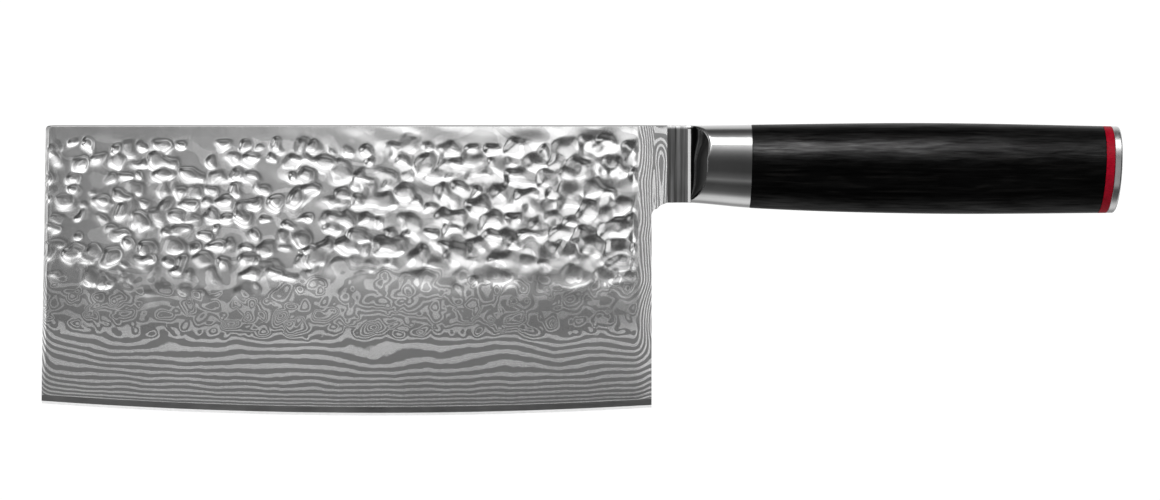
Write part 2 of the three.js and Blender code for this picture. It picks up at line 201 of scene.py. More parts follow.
@dataclass(frozen=True)
class HammerMarks:
    """Shallow dishes struck side by side in rows, each a little different.

    A pair holds the least and the most of a random draw, or the two places or heights between
    which a change eases in. Turns are spreads in radians.
    """

    seed: int
    pitch_x: float = 5.7
    pitch_z: float = 4.3
    stray: float = 1.3
    stray_up: float = 0.7  # share of the stray that is left upwards
    radii: Pair = (1.3, 2.9)
    grow: Pair = (1.25, 1.5)
    grow_between: Pair = (0.0, 150.0)
    stretches: Pair = (1.0, 1.6)
    turn: float = 0.6  # of the long axis
    slope: float = 0.15
    forces: Pair = (0.5, 1.3)  # of the blows
    bowl_slope: float = 1.54  # steepest slope of a dish that is as deep as its radius
    power: float = 2.0  # how softly the rims run out
    up: float = 0.7  # turn of the steep side from straight up
    lean: float = 1.6  # how much steeper the upper side is
    leans: Pair = (0.7, 1.3)
    lean_loss: float = 0.6  # share lost towards the heel
    lean_between: Pair = (60.0, 120.0)
    worn: Pair = (30.0, 48.0)  # heights where the grinding runs out
    worn_stray: float = 2.0
    worn_drop: float = 5.0  # towards the heel
    worn_between: Pair = (60.0, 130.0)
    missing: float = 0.08  # share of the places that got no blow
    warp_x: float = 0.55
    warp_z: float = 0.44
    warp_length: float = 6.0
    reach: float = 13.0

    def draw(self, rng: np.random.Generator, x: float, z: float) -> Mark:
        """Draw one mark at random.

        Args:
            rng: Source of the random draws.
            x: Place of its column.
            z: Height of its row.

        Returns:
            The mark.
        """
        x = x + rng.normal(0.0, self.stray)
        z = z + rng.normal(0.0, self.stray * self.stray_up)
        radius = rng.uniform(*self.radii) * np.interp(x, self.grow_between, self.grow)
        stretch = rng.uniform(*self.stretches)
        turn = rng.normal(0.0, self.turn)
        depth = self.slope * rng.uniform(*self.forces) * radius / self.bowl_slope
        up = rng.normal(0.0, self.up)
        tip = self.lean * rng.uniform(*self.leans)
        tip = tip * (1.0 - self.lean_loss * smoothstep(*self.lean_between, x))
        wear = z + rng.normal(0.0, self.worn_stray)
        wear = wear - self.worn_drop * smoothstep(*self.worn_between, x)
        return Mark(x, z, radius, stretch, turn, depth, up, tip, smoothstep(*self.worn, wear))

    def depths(
        self, x: Array, z: Array, low: float, high: float, end: float
    ) -> tuple[Array, Array]:
        """Depth of the struck face.

        Args:
            x: Places along the blade from the front end, in millimetres.
            z: Heights of the places, in millimetres.
            low: Lowest row of marks.
            high: Highest row of marks.
            end: Last column of marks.

        Returns:
            Depth of the marks that are left, and of those that the grinding took away.
        """
        rng = np.random.default_rng(self.seed)
        length = self.warp_length
        warped_x = x + self.warp_x * Ripples(self.seed + 1, length, length).at(x, z)
        warped_z = z + self.warp_z * Ripples(self.seed + 2, length, length).at(x, z)
        left, ground = np.zeros_like(x), np.zeros_like(x)
        for row in range(int((high - low) / self.pitch_z) + 1):
            for column in range(int(end / self.pitch_x) + 1):
                staggered = (column + 0.5 * (row % 2)) * self.pitch_x
                mark = self.draw(rng, staggered, low + row * self.pitch_z)
                if rng.uniform() < self.missing:
                    continue
                near = (np.abs(x - mark.x) < self.reach) & (np.abs(z - mark.z) < self.reach)
                bowl = mark.bowl(warped_x[near] - mark.x, warped_z[near] - mark.z, self.power)
                left[near] += (bowl * mark.left) ** 2
                ground[near] += (bowl * (1.0 - mark.left)) ** 2
        return np.sqrt(left), np.sqrt(ground)


# Meshes


class MeshMaker:
    """Turns arrays of corners into smooth shaded pieces of the part."""

    CREASE = 40.0
    ROD_CORNERS = 96

    @staticmethod
    def smooth(mesh: bpy.types.Mesh, crease: float) -> None:
        """Shade a mesh smooth, and sharp at edges above an angle in degrees."""
        mesh.shade_smooth()
        mesh.set_sharp_from_angle(angle=math.radians(crease))

    @staticmethod
    def piece(name: str, corners: Array, faces: list, crease: float = CREASE) -> Piece:
        """New mesh object in the scene.

        Args:
            name: Name of the piece.
            corners: Corner places in millimetres, one row each.
            faces: Corner numbers of each face.
            crease: Angle in degrees above which an edge stays sharp.

        Returns:
            The object, in place.
        """
        mesh = bpy.data.meshes.new(name)
        mesh.from_pydata((np.asarray(corners) * MM).tolist(), [], faces)
        mesh.validate()
        MeshMaker.smooth(mesh, crease)
        made = bpy.data.objects.new(name, mesh)
        bpy.context.scene.collection.objects.link(made)
        return made

    @staticmethod
    def skin(rings: list[Array]) -> Form:
        """Closed skin over rings of equal count.

        Args:
            rings: Arrays of corners, one ring after another along the piece.

        Returns:
            Corners and faces, with the first and last ring closed.
        """
        count, corners = len(rings[0]), np.concatenate(rings)
        faces = [tuple(reversed(range(count)))]
        for r in range(len(rings) - 1):
            for k in range(count):
                a, b = r * count + k, r * count + (k + 1) % count
                faces.append((a, b, b + count, a + count))
        last = (len(rings) - 1) * count
        faces.append(tuple(range(last, last + count)))
        return corners, faces

    @staticmethod
    def rod(radius: float, from_x: float, to_x: float, z: float) -> Form:
        """Round bar along the handle.

        Args:
            radius: Its radius.
            from_x: Place of its front end.
            to_x: Place of its rear end.
            z: Height of its middle line.

        Returns:
            Corners and faces.
        """
        turns = np.linspace(0.0, FULL_TURN, MeshMaker.ROD_CORNERS, endpoint=False)
        y, rise = radius * np.cos(turns), radius * np.sin(turns)
        ring = np.stack([np.zeros(len(turns)), y, z + rise], 1)
        return MeshMaker.skin([ring + [from_x, 0, 0], ring + [to_x, 0, 0]])

    @staticmethod
    def block(low: Triple, high: Triple) -> Form:
        """Square block, such as a tongue, a slot or a mortise.

        Args:
            low: Its low corner.
            high: Its high corner.

        Returns:
            Corners and faces.
        """
        y, z = (low[1], high[1]), (low[2], high[2])
        ring = np.array([[0, y[0], z[0]], [0, y[1], z[0]], [0, y[1], z[1]], [0, y[0], z[1]]])
        return MeshMaker.skin([ring + [low[0], 0, 0], ring + [high[0], 0, 0]])

    @staticmethod
    def combine(target: Piece, forms: list[Form], work: Work) -> None:
        """Cut forms out of a piece, or join them to it.

        Args:
            target: Piece that is changed.
            forms: Corners and faces of each form.
            work: What is done with them.
        """
        for corners, faces in forms:
            tool = MeshMaker.piece("tool", corners, faces)
            step = target.modifiers.new("work", "BOOLEAN")
            step.object, step.operation, step.solver = tool, work.value, "EXACT"
            held = target.evaluated_get(bpy.context.evaluated_depsgraph_get())
            made = bpy.data.meshes.new_from_object(held)
            target.modifiers.clear()
            target.data = made
            bpy.data.objects.remove(tool)
        MeshMaker.smooth(target.data, MeshMaker.CREASE)


def settle(piece: Piece, slot: Slot, finish: Finish, *nodes: str) -> Piece:
    """Put a piece on the part's one body and dress it.

    Args:
        piece: The new mesh.
        slot: Its material slot.
        finish: Its material.
        nodes: CAD nodes that the piece stands for.

    Returns:
        The piece.
    """
    piece.data.materials.clear()
    piece.data.materials.append(finish)
    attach(piece, "root")
    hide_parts(*nodes)
    LOG.info("%s: %d corners, %s", piece.name, len(piece.data.vertices), slot.value)
    return piece


# Finishes


class Graph:
    """Node graph of a material or of the surroundings, with short ways to add and join nodes."""

    def __init__(self, tree: bpy.types.NodeTree) -> None:
        """Work on a node tree."""
        self.tree = tree

    def node(self, kind: str, **settings: str) -> bpy.types.Node:
        """Add a node.

        Args:
            kind: Kind of node.
            settings: Settings of the node by name.

        Returns:
            The node.
        """
        made = self.tree.nodes.new(kind)
        for key, value in settings.items():
            setattr(made, key, value)
        return made

    def feed(self, node: bpy.types.Node, inputs: dict) -> bpy.types.Node:
        """Link inputs of a node to outputs, or give them plain values.

        Args:
            node: The node.
            inputs: Output or value for each input, by the input's name or number.

        Returns:
            The node.
        """
        for key, value in inputs.items():
            if isinstance(value, Socket):
                self.tree.links.new(value, node.inputs[key])
            else:
                node.inputs[key].default_value = value
        return node

    def math(self, operation: str, *values: Signal) -> Socket:
        """Result of one sum over outputs and plain numbers."""
        made = self.node("ShaderNodeMath", operation=operation)
        return self.feed(made, dict(enumerate(values))).outputs[0]

    def span(self, value: Signal, low: float, high: float, to_low: float, to_high: float) -> Socket:
        """Map one range of values to another, clamped."""
        limits = enumerate((value, low, high, to_low, to_high))
        return self.feed(self.node("ShaderNodeMapRange"), dict(limits)).outputs[0]

    def blend(self, share: Signal, first: Signal, second: Signal) -> Socket:
        """Colour between two colours, whose inputs have the numbers 6 and 7."""
        made = self.node("ShaderNodeMix", data_type="RGBA")
        return self.feed(made, {0: share, 6: first, 7: second}).outputs[2]


class Recipe(Graph):
    """Graph of one material, around its shader."""

    def __init__(self, name: str) -> None:
        """Start a material with a shader and the places on the piece.

        Args:
            name: Name of the material.
        """
        self.material = bpy.data.materials.new(name)
        self.material.use_nodes = True
        super().__init__(self.material.node_tree)
        self.shader = self.tree.nodes["Principled BSDF"]
        self.place = self.node("ShaderNodeTexCoord").outputs["Object"]

    def noise(
        self, scale: Triple, detail: float = 3.0, rough: float = 0.5, twist: float = 0.0
    ) -> Socket:
        """Cloudy pattern over the piece.

        Args:
            scale: Fineness along each axis, in cycles per metre.
            detail: How many finer patterns lie on the coarse one.
            rough: How strong the finer ones are.
            twist: How far the pattern is drawn into swirls.

        Returns:
            The pattern, mostly within the usual range.
        """
        stretch = self.feed(self.node("ShaderNodeMapping"), {"Vector": self.place, "Scale": scale})
        made = self.node("ShaderNodeTexNoise")
        self.feed(made, {"Vector": stretch.outputs[0], "Scale": 1.0, "Detail": detail})
        self.feed(made, {"Roughness": rough, "Distortion": twist})
        return made.outputs["Fac"]

    def relief(self, height: Socket, depth: float) -> None:
        """Fine relief of the surface, with its depth in metres."""
        made = self.feed(self.node("ShaderNodeBump"), {"Height": height, "Distance": depth})
        self.feed(self.shader, {"Normal": made.outputs[0]})

    def shade(self, **inputs: Signal) -> Finish:
        """Set or link inputs of the shader by name, with _ for a space."""
        self.feed(self.shader, {key.replace("_", " "): value for key, value in inputs.items()})
        return self.material


def grey(value: float) -> Colour:
    """Even grey of a steel or of the studio."""
    return (value, value, value, 1.0)


@dataclass(frozen=True)
class LayeredSteel:
    """Etched pattern steel: bright nickel layers between darker ones."""

    light: float = 0.6
    dark: float = 0.21
    rubbed: float = 0.34
    light_gloss: float = 0.20
    dark_gloss: float = 0.25
    line_ramp: Pair = (-0.05, 0.5)
    waver: float = 0.09
    waver_scale: Triple = (260.0, 260.0, 260.0)
    grain_scale: Triple = (2600.0, 2600.0, 240.0)
    cloud_scale: Triple = (55.0, 55.0, 55.0)
    cloud_share: float = 0.16
    relief: float = 4e-6

    def material(self) -> Finish:
        """Build the material from the layer number and the etch kept on the mesh.

        Returns:
            The material.
        """
        r = Recipe(Slot.LAYERED_STEEL.value)
        layer = r.node("ShaderNodeAttribute", attribute_name="layer").outputs["Fac"]
        show = r.node("ShaderNodeAttribute", attribute_name="etch").outputs["Fac"]
        waver = r.span(r.noise(self.waver_scale, 2.0), *USUAL, -self.waver, self.waver)
        wave = r.math("SINE", r.math("MULTIPLY", r.math("ADD", layer, waver), FULL_TURN))
        band = r.math("MULTIPLY", r.span(wave, *self.line_ramp, 0.0, 1.0), show)
        grain = r.noise(self.grain_scale, 2.0)
        cloud = r.span(r.noise(self.cloud_scale), 0.35, 0.75, 0.0, self.cloud_share)
        dark = r.blend(r.span(show, 0.3, 0.8, 0.0, 1.0), grey(self.rubbed), grey(self.dark))
        tone = r.blend(band, dark, grey(self.light))
        tone = r.blend(cloud, tone, grey(self.dark * 0.7))
        gloss = r.span(band, 0.0, 1.0, self.dark_gloss, self.light_gloss)
        gloss = r.math("ADD", gloss, r.span(show, 0.3, 1.0, -0.09, 0.06))
        gloss = r.math("ADD", gloss, r.span(grain, *USUAL, -0.012, 0.012))
        height = r.math("ADD", r.math("MULTIPLY", band, 0.6), r.math("MULTIPLY", grain, 0.15))
        r.relief(height, self.relief)
        return r.shade(Base_Color=tone, Roughness=gloss, Metallic=1.0)


@dataclass(frozen=True)
class GroundSteel:
    """Plain steel with fine grinding lines along the piece."""

    name: str
    tone: float
    worn_tone: float
    gloss: float
    lines: Triple = (60.0, 2600.0, 2600.0)
    cloud_scale: Triple = (130.0, 130.0, 130.0)
    relief: float = 1.5e-6
    streaks: float = 0.0
    metal: float = 1.0

    def material(self) -> Finish:
        """Build the material with its lines and clouded shine.

        Returns:
            The material.
        """
        r = Recipe(self.name)
        lines = r.noise(self.lines, 3.0, 0.6)
        cloud = r.noise(self.cloud_scale, 4.0)
        tone = r.blend(r.span(cloud, *USUAL, 0.0, 1.0), grey(self.tone), grey(self.worn_tone))
        streak = r.span(lines, 0.35, 0.65, self.streaks, 0.0)
        tone = r.blend(streak, tone, grey(self.tone * 0.35))
        gloss = r.span(lines, 0.25, 0.75, self.gloss * 0.75, self.gloss * 1.25)
        gloss = r.math("ADD", gloss, r.span(cloud, 0.3, 0.75, -0.02, 0.03))
        r.relief(lines, self.relief)
        return r.shade(Base_Color=tone, Roughness=gloss, Metallic=self.metal)


@dataclass(frozen=True)
class BlackWood:
    """Black pressed laminate of thin wood plies, sanded and oiled."""

    deep: Colour = (0.0004, 0.0004, 0.0004, 1.0)
    vein: Colour = (0.0045, 0.0042, 0.004, 1.0)
    ply: float = 0.0011
    ply_drift: float = 0.0016
    relief: float = 2.5e-5
    drift_scale: Triple = (22.0, 90.0, 90.0)
    streak_scale: Triple = (34.0, 950.0, 950.0)
    pore_scale: Triple = (160.0, 3800.0, 3800.0)
    figure_scale: Triple = (38.0, 240.0, 240.0)
    fibre_scale: Triple = (110.0, 1100.0, 1100.0)

    def material(self) -> Finish:
        """Build the material with plies, streaks, open pores and a figure in its shine.

        Returns:
            The material.
        """
        r = Recipe(Slot.BLACK_WOOD.value)
        axes = r.feed(r.node("ShaderNodeSeparateXYZ"), {0: r.place})
        drift = r.span(r.noise(self.drift_scale), 0.25, 0.75, -self.ply_drift, self.ply_drift)
        across = r.math("ADD", axes.outputs["Y"], drift)
        ply = r.math("SINE", r.math("MULTIPLY", across, FULL_TURN / self.ply))
        streak = r.noise(self.streak_scale, 4.0, 0.65, 0.4)
        pore = r.noise(self.pore_scale, 2.0)
        plies, streaks = r.span(ply, 0.0, 1.0, 0.15, 1.0), r.span(streak, 0.44, 0.74, 0.0, 1.0)
        tone = r.blend(r.math("MULTIPLY", plies, streaks), self.deep, self.vein)
        gloss = r.span(streak, *USUAL, 0.27, 0.34)
        gloss = r.math("ADD", gloss, r.span(pore, 0.45, 0.75, 0.0, 0.08))
        height = r.math("ADD", r.math("MULTIPLY", streak, 0.7), r.math("MULTIPLY", pore, 0.6))
        r.relief(height, self.relief)
        figure = r.span(r.noise(self.figure_scale, 3.0, 0.6, 0.6), 0.32, 0.68, 0.35, 1.0)
        fibre = r.span(r.noise(self.fibre_scale, 3.0, 0.6, 0.3), *USUAL, 0.06, 0.27)
        shine = r.math("MULTIPLY", figure, fibre)
        return r.shade(Base_Color=tone, Roughness=gloss, Specular_IOR_Level=shine)


@dataclass(frozen=True)
class RedFibre:
    """Pressed red fibre, dyed through."""

    deep: Colour = (0.13, 0.0004, 0.005, 1.0)
    bright: Colour = (0.22, 0.001, 0.01, 1.0)
    fibre_scale: Triple = (900.0, 2200.0, 2200.0)
    gloss: Pair = (0.34, 0.46)
    shine: float = 0.06
    relief: float = 1.5e-5

    def material(self) -> Finish:
        """Build the material with its fine fibres.

        Returns:
            The material.
        """
        r = Recipe(Slot.RED_FIBRE.value)
        fibre = r.noise(self.fibre_scale, 4.0, 0.6)
        tone = r.blend(r.span(fibre, *USUAL, 0.0, 1.0), self.deep, self.bright)
        gloss = r.span(fibre, *USUAL, *self.gloss)
        r.relief(fibre, self.relief)
        return r.shade(Base_Color=tone, Roughness=gloss, Specular_IOR_Level=self.shine)


@dataclass(frozen=True)
class CastResin:
    """Amber bedding resin with a few clouds."""

    deep: Colour = (0.09, 0.06, 0.022, 1.0)
    pale: Colour = (0.20, 0.145, 0.06, 1.0)
    cloud_scale: Triple = (240.0, 400.0, 400.0)
    speck_scale: Triple = (2600.0, 2600.0, 2600.0)
    gloss: Pair = (0.3, 0.5)
    relief: float = 2e-5

    def material(self) -> Finish:
        """Build the material with its clouds and specks.

        Returns:
            The material.
        """
        r = Recipe(Slot.RESIN.value)
        cloud = r.noise(self.cloud_scale, 4.0)
        speck = r.noise(self.speck_scale, 2.0)
        tone = r.blend(r.span(cloud, *USUAL, 0.0, 1.0), self.deep, self.pale)
        r.relief(speck, self.relief)
        gloss = r.span(speck, *USUAL, *self.gloss)
        return r.shade(Base_Color=tone, Roughness=gloss, Metallic=0.0)


# Sub-assemblies


@dataclass
class StruckFace:
    """Face of one cladding at given places: hammered above, ground below, etched to show layers.

    Places run from the front end and heights from the edge, unless a comment says otherwise.
    A pair holds the two places between which a change eases in, and waves are given by the number
    of their random draw and their lengths along and up.
    """

    blade: "Blade"
    side: Side
    x: Array
    z: Array

    # Hammering, with finer beads on the layers of the swirled zone
    marks_low: float = 24.2
    marks_high: float = 83.7
    marks_end: float = 180.0
    marks_stop: Pair = (3.6, 5.6)  # before the heel
    mark_depth: float = 0.42
    spine_strip: Pair = (2.4, 4.8)  # below the crest
    crest_ripple: float = 1.1
    crest_rise: float = 1.5
    crest_between: Pair = (45.0, 110.0)
    crest_waves: Waves = (9, 9.0, 30.0)
    beads_high: float = 48.0
    bead_draw: int = 20

    # Rolling waves under the marks
    rolled: Pair = (29.0, 50.0)
    roll_least: float = 0.012
    roll_more: float = 0.048
    roll_between: Pair = (36.0, 120.0)
    roll_bias: float = 1.5
    roll_waves: Waves = (12, 17.0, 7.0)
    roll_calm: float = 0.3
    roll_calm_strip: Pair = (0.0, 14.0)  # below the spine

    # Falling away to the front end and to the bolster
    front_sink: float = 0.13
    front_ease: float = 1.5
    heel_sink: float = 0.32
    heel_slope: Pair = (5.4, -7.0)  # before the heel
    least_cover: float = 0.001

    # Course of the layers
    layer_pair: float = 0.05
    first_layer: float = 0.22
    swell_height: float = 0.036
    swell_between: Pair = (3.0, 24.0)
    swell_waves: Waves = (5, 34.0, 26.0)
    lump_height: float = 0.005
    swirl_height: float = 0.009
    swirl_between: Pair = (17.0, 27.0)
    lump_waves: Waves = (6, 13.0, 9.0)
    arch_height: float = 0.15
    arch_middle: float = 2.9  # past the heel
    arch_width: float = 1.7
    arch_between: Pair = (0.8, 11.5)  # below the spine
    mark_trace: float = 0.35
    trace_between: Pair = (20.0, 27.0)
    bead_trace: float = 0.7
    bead_between: Pair = (45.0, 34.0)
    outline_least: float = 0.12
    outline_more: float = 0.16
    outline_between: Pair = (130.0, 70.0)
    bend_most: float = 2.1
    bend_loss: float = 1.7
    bend_between: Pair = (24.0, 12.0)
    bend_end: float = 0.8  # past the heel
    front_bend: float = 0.5

    # How clearly the layers show
    etch_least: float = 0.1
    etch_marks: float = 0.26
    etch_swirls: float = 0.26
    etch_shift: float = 0.1
    etch_stripes: float = 0.38
    polish_ripple: float = 2.6
    polish_waves: Waves = (8, 19.0, 16.0)
    swirls_between: Pair = (46.0, 32.0)
    stripes_between: Pair = (29.0, 21.0)
    heel_strip: Pair = (5.0, 3.0)  # before the heel

    # Worked out at each place
    over: Array = field(init=False)  # height over the edge
    front: Array = field(init=False)  # distance from the front end
    marked: Array = field(init=False)  # share of the hammering along the blade
    below_spine: Array = field(init=False)  # share of it up to the spine
    polished: Array = field(init=False)  # uneven height over the edge, for the change of finish
    outlined: Array = field(init=False)  # share of the clear outlines, most at the front end
    struck: Array = field(init=False)  # depth of the marks
    gone: Array = field(init=False)  # depth of the marks that were ground away
    wavy: Array = field(init=False)  # depth of the rolling waves
    end_drop: Array = field(init=False)  # fall towards the front end
    plain: Array = field(init=False)  # half thickness before the blows

    def __post_init__(self) -> None:
        """Find the zones of the face and strike its marks."""
        blade, x, z = self.blade, self.x, self.z
        self.over = z - blade.edge_line(np.clip(x, 0.0, blade.length))
        self.front = x - blade.front_line(z)
        self.marked = self.by_heel(*self.marks_stop)
        crest = blade.depth + self.crest_ripple * self.waves(*self.crest_waves)
        crest = crest + self.crest_rise * smoothstep(*self.crest_between, x)
        self.below_spine = smoothstep(crest - self.spine_strip[0], crest - self.spine_strip[1], z)
        self.polished = self.over + self.polish_ripple * self.waves(*self.polish_waves)
        self.outlined = smoothstep(*self.outline_between, x)
        marks = HammerMarks(self.side.seed)
        kept, self.gone = marks.depths(x, z, self.marks_low, self.marks_high, self.marks_end)
        struck = self.mark_depth * np.tanh(kept / self.mark_depth)
        self.struck = struck * self.marked * self.below_spine
        roll = np.clip(self.waves(*self.roll_waves) + self.roll_bias, 0.0, None)
        amount = self.roll_least + self.roll_more * smoothstep(*self.roll_between, x)
        calm = 1.0 - self.roll_calm + self.roll_calm * self.by_spine(*self.roll_calm_strip)
        self.wavy = smoothstep(*self.rolled, self.polished) * self.marked * (amount * calm) * roll
        ground = blade.grind(self.over)
        self.end_drop = self.front_sink * np.exp(-np.clip(self.front, 0.0, None) / self.front_ease)
        cover = np.clip(ground - blade.half_core, 0.0, 1.0)
        self.plain = ground - self.end_drop * cover - self.heel_drop(x)

    def waves(self, draw: int, length_x: float, length_z: float) -> Array:
        """Irregular waves over the face, from a random draw of their own."""
        return Ripples(self.side.seed + draw, length_x, length_z).at(self.x, self.z)

    def by_heel(self, start: float, end: float) -> Array:
        """Ease between two distances before the heel."""
        return smoothstep(self.blade.length - start, self.blade.length - end, self.x)

    def by_spine(self, start: float, end: float) -> Array:
        """Ease between two distances below the spine."""
        return smoothstep(self.blade.depth - start, self.blade.depth - end, self.z)

    def heel_drop(self, x: Array) -> Array:
        """How far the face has fallen away towards the bolster at places along the blade."""
        start, end = (self.blade.length - distance for distance in self.heel_slope)
        return self.heel_sink * smoothstep(start, end, x)

    def beads(self) -> Array:
        """Depth of the fine beads in the layers, all ground away.

        Returns:
            The depth at each place.
        """
        beads = HammerMarks(
            self.side.seed + self.bead_draw, pitch_x=6.0, pitch_z=3.2, slope=0.13, radii=(0.8, 1.7),
            grow=(1.0, 1.0), power=1.1, lean=0.0, missing=0.1, worn=(90.0, 99.0), worn_drop=0.0,
        )
        return beads.depths(self.x, self.z, self.marks_low, self.beads_high, self.marks_end)[1]

    def surface(self) -> Array:
        """Height of the finished face over the middle of the blade.

        Returns:
            Half thickness at each place.
        """
        blade = self.blade
        least = blade.half_core + self.least_cover
        surface = np.maximum(self.plain - self.struck - self.wavy, least)
        chamfer = blade.front_rim / (blade.half - blade.half_core)
        chamfer = chamfer + (1.0 - chamfer) * np.clip(self.front / blade.front_chamfer, 0.0, 1.0)
        surface = blade.half_core + (surface - blade.half_core) * chamfer
        return surface - np.clip(blade.spine_chamfer - (blade.depth - self.z), 0.0, None)

    def layer(self) -> Array:
        """Layers that the grinding and the blows have laid bare.

        Returns:
            Number of the layer at each place, counted from the core.
        """
        blade, over = self.blade, self.over
        lump = self.waves(*self.lump_waves)
        swell = self.waves(*self.swell_waves) * self.swell_height
        wander = swell * smoothstep(*self.swell_between, over)
        wander = wander + self.lump_height * lump
        wander = wander + self.swirl_height * lump * smoothstep(*self.swirl_between, over) * self.marked
        arch = np.exp(-(((self.x - blade.length - self.arch_middle) / self.arch_width) ** 2))
        arch = self.arch_height * arch * self.by_spine(*self.arch_between)
        beads = self.bead_trace * self.beads() * smoothstep(*self.bead_between, self.polished)
        etched = self.mark_trace * self.gone + beads
        etched = etched * smoothstep(*self.trace_between, over) * self.marked
        outline = self.outline_least + self.outline_more * self.outlined
        etched = etched - outline * (self.struck + self.wavy)
        bend = self.bend_most - self.bend_loss * smoothstep(*self.bend_between, over)
        bent = bend * self.heel_drop(np.minimum(self.x, blade.length + self.bend_end))
        height = self.plain + self.heel_drop(self.x) - bent - blade.half_core
        height = height + etched + arch + wander - self.front_bend * self.end_drop
        return height / self.layer_pair + self.first_layer

    def etch(self) -> Array:
        """How clearly the layers show.

        Returns:
            Share at each place, most in the stripes and on the heel strip.
        """
        shift = self.etch_shift * self.outlined
        etch = self.etch_least + (self.etch_marks + shift) * self.below_spine
        swirls = smoothstep(*self.swirls_between, self.polished)
        etch = etch + (self.etch_swirls - shift) * swirls
        etch = etch + self.etch_stripes * smoothstep(*self.stripes_between, self.over)
        return np.maximum(etch, self.by_heel(*self.heel_strip))


@dataclass
class Blade:
    """Hard core between two hammered claddings. Lengths run from the front end, in millimetres."""

    length: float = 183.0
    tab_length: float = 4.7
    tab_height: float = 25.0
    heel_fillet: float = 1.8
    neck_height: float = 23.2
    edge_radius: float = 1400.0
    belly: float = 101.0
    front_setback: float = 1.4
    front_corner: float = 1.2
    front_chamfer: float = 1.1
    front_rim: float = 0.25
    spine_chamfer: float = 0.3
    grind_height: float = 38.0
    grind_fullness: float = 0.38
    micro_bevel: float = 0.8
    facet_share: float = 0.8  # of the bevel, for the middles of its faces
    facet_end: float = 0.05  # before the heel
    half_tongue: float = 6.0
    tab_overlap: float = 3.0
    cladding_crease: float = 55.0
    core_crease: float = 10.0

    # Spacing of the corners
    step: float = 0.43
    front_step: float = 0.125
    front_fine: float = 1.5
    crown_fine: float = 0.7
    crown_rows: int = 8
    tab_start: float = 0.05
    tab_wide: float = 2.1
    tab_columns: int = 7
    plate_points: int = 15
    core_shares: tuple = (0.0, 0.002, 0.005, 0.01)  # close rings at the front, of the length
    core_rings: int = 180
    core_heights: Triple = (1.2, 1.7, 2.2)  # over the edge
    core_top_rows: int = 7

    # Taken from the CAD frame
    depth: float = field(init=False)
    half: float = field(init=False)
    half_core: float = field(init=False)
    origin: float = field(init=False)

    def __post_init__(self) -> None:
        """Take the overall sizes from the CAD frame."""
        low, high = cad_limits("near_cladding")
        self.depth, self.half, self.half_core = high[2], -low[1], -high[1]
        self.origin = high[0] - self.length - self.tab_length

    @property
    def core_line(self) -> float:
        """Height over the edge where the core comes out from under the claddings."""
        return self.grind_height * (self.half_core / self.half) ** (1.0 / self.grind_fullness)

    @property
    def split(self) -> float:
        """Height of the heel's upper end, where the fillet of the tab starts."""
        return self.depth - self.tab_height - self.heel_fillet

    def edge_line(self, x: Array) -> Array:
        """Height of the cutting edge."""
        return self.edge_radius - np.sqrt(self.edge_radius**2 - (x - self.belly) ** 2)

    def front_line(self, z: Array) -> Array:
        """Front end, which leans and turns into the spine in a small round.

        Args:
            z: Heights on the front end.

        Returns:
            The place of the front end at each height.
        """
        sink = np.clip(z - (self.depth - self.front_corner), 0.0, self.front_corner)
        turn = self.front_corner - np.sqrt(self.front_corner**2 - sink**2)
        return self.front_setback * z / self.depth + turn

    def grind(self, height: Array) -> Array:
        """Half thickness of the ground blade at a height over the edge."""
        share = np.clip(height, 0.0, self.grind_height) / self.grind_height
        return self.half * share**self.grind_fullness

    def tab_underside(self, x: Array) -> Array:
        """Underside of the heel tab, with its fillet.

        Args:
            x: Places along the tab.

        Returns:
            The height of the underside at each place.
        """
        tab_z, r = self.depth - self.tab_height, self.heel_fillet
        out = np.clip(x - self.length, 0.0, None)
        fillet = tab_z - r + np.sqrt(np.clip(r**2 - (r - np.minimum(out, r)) ** 2, 0.0, None))
        share = np.clip((out - r) / (self.tab_length - r), 0.0, 1.0)
        rise = np.sqrt(share) * (self.tab_height - self.neck_height)
        return np.where(out < r, fillet, tab_z + rise)

    def upper_rows(self) -> Array:
        """Heights of the rows of corners from the split to the spine.

        Returns:
            The heights, closer together at the spine.
        """
        crown = np.linspace(self.depth - self.crown_fine, self.depth, self.crown_rows)
        rows = np.linspace(self.split, crown[0], int((crown[0] - self.split) / self.step))
        return np.concatenate([rows, crown[1:]])

    def body_grid(self) -> tuple[Array, Array]:
        """Grid of corners from the front end to the heel.

        Returns:
            Places and heights, with a row for each column of corners.
        """
        fine = np.arange(0.0, self.front_fine, self.front_step)
        count = int((self.length - self.front_fine) / self.step)
        columns = np.concatenate([fine, np.linspace(self.front_fine, self.length, count)])
        lower = np.linspace(0.0, 1.0, int(self.split / self.step))[:-1]
        upper = self.upper_rows()
        foot = self.edge_line(columns) + self.core_line
        low_z = foot[:, None] + (self.split - foot)[:, None] * lower[None, :]
        z = np.concatenate([low_z, np.broadcast_to(upper, (len(columns), len(upper)))], 1)
        front = self.front_line(z)
        x = front + (self.length - front) * (columns / self.length)[:, None]
        return x, z

    def tab_grid(self) -> tuple[Array, Array]:
        """Grid of corners on the heel tab.

        Returns:
            Places and heights, with a row for each column of corners.
        """
        upper = self.upper_rows()
        fillet = np.linspace(self.tab_start, self.heel_fillet, self.tab_columns)
        flat = np.linspace(self.tab_wide, self.tab_length, self.tab_columns)
        x = self.length + np.concatenate([fillet, flat])
        low = self.tab_underside(x)
        share = (upper - self.split) / (self.depth - self.split)
        z = low[:, None] + (self.depth - low)[:, None] * share[None, :]
        return np.broadcast_to(x[:, None], z.shape), z

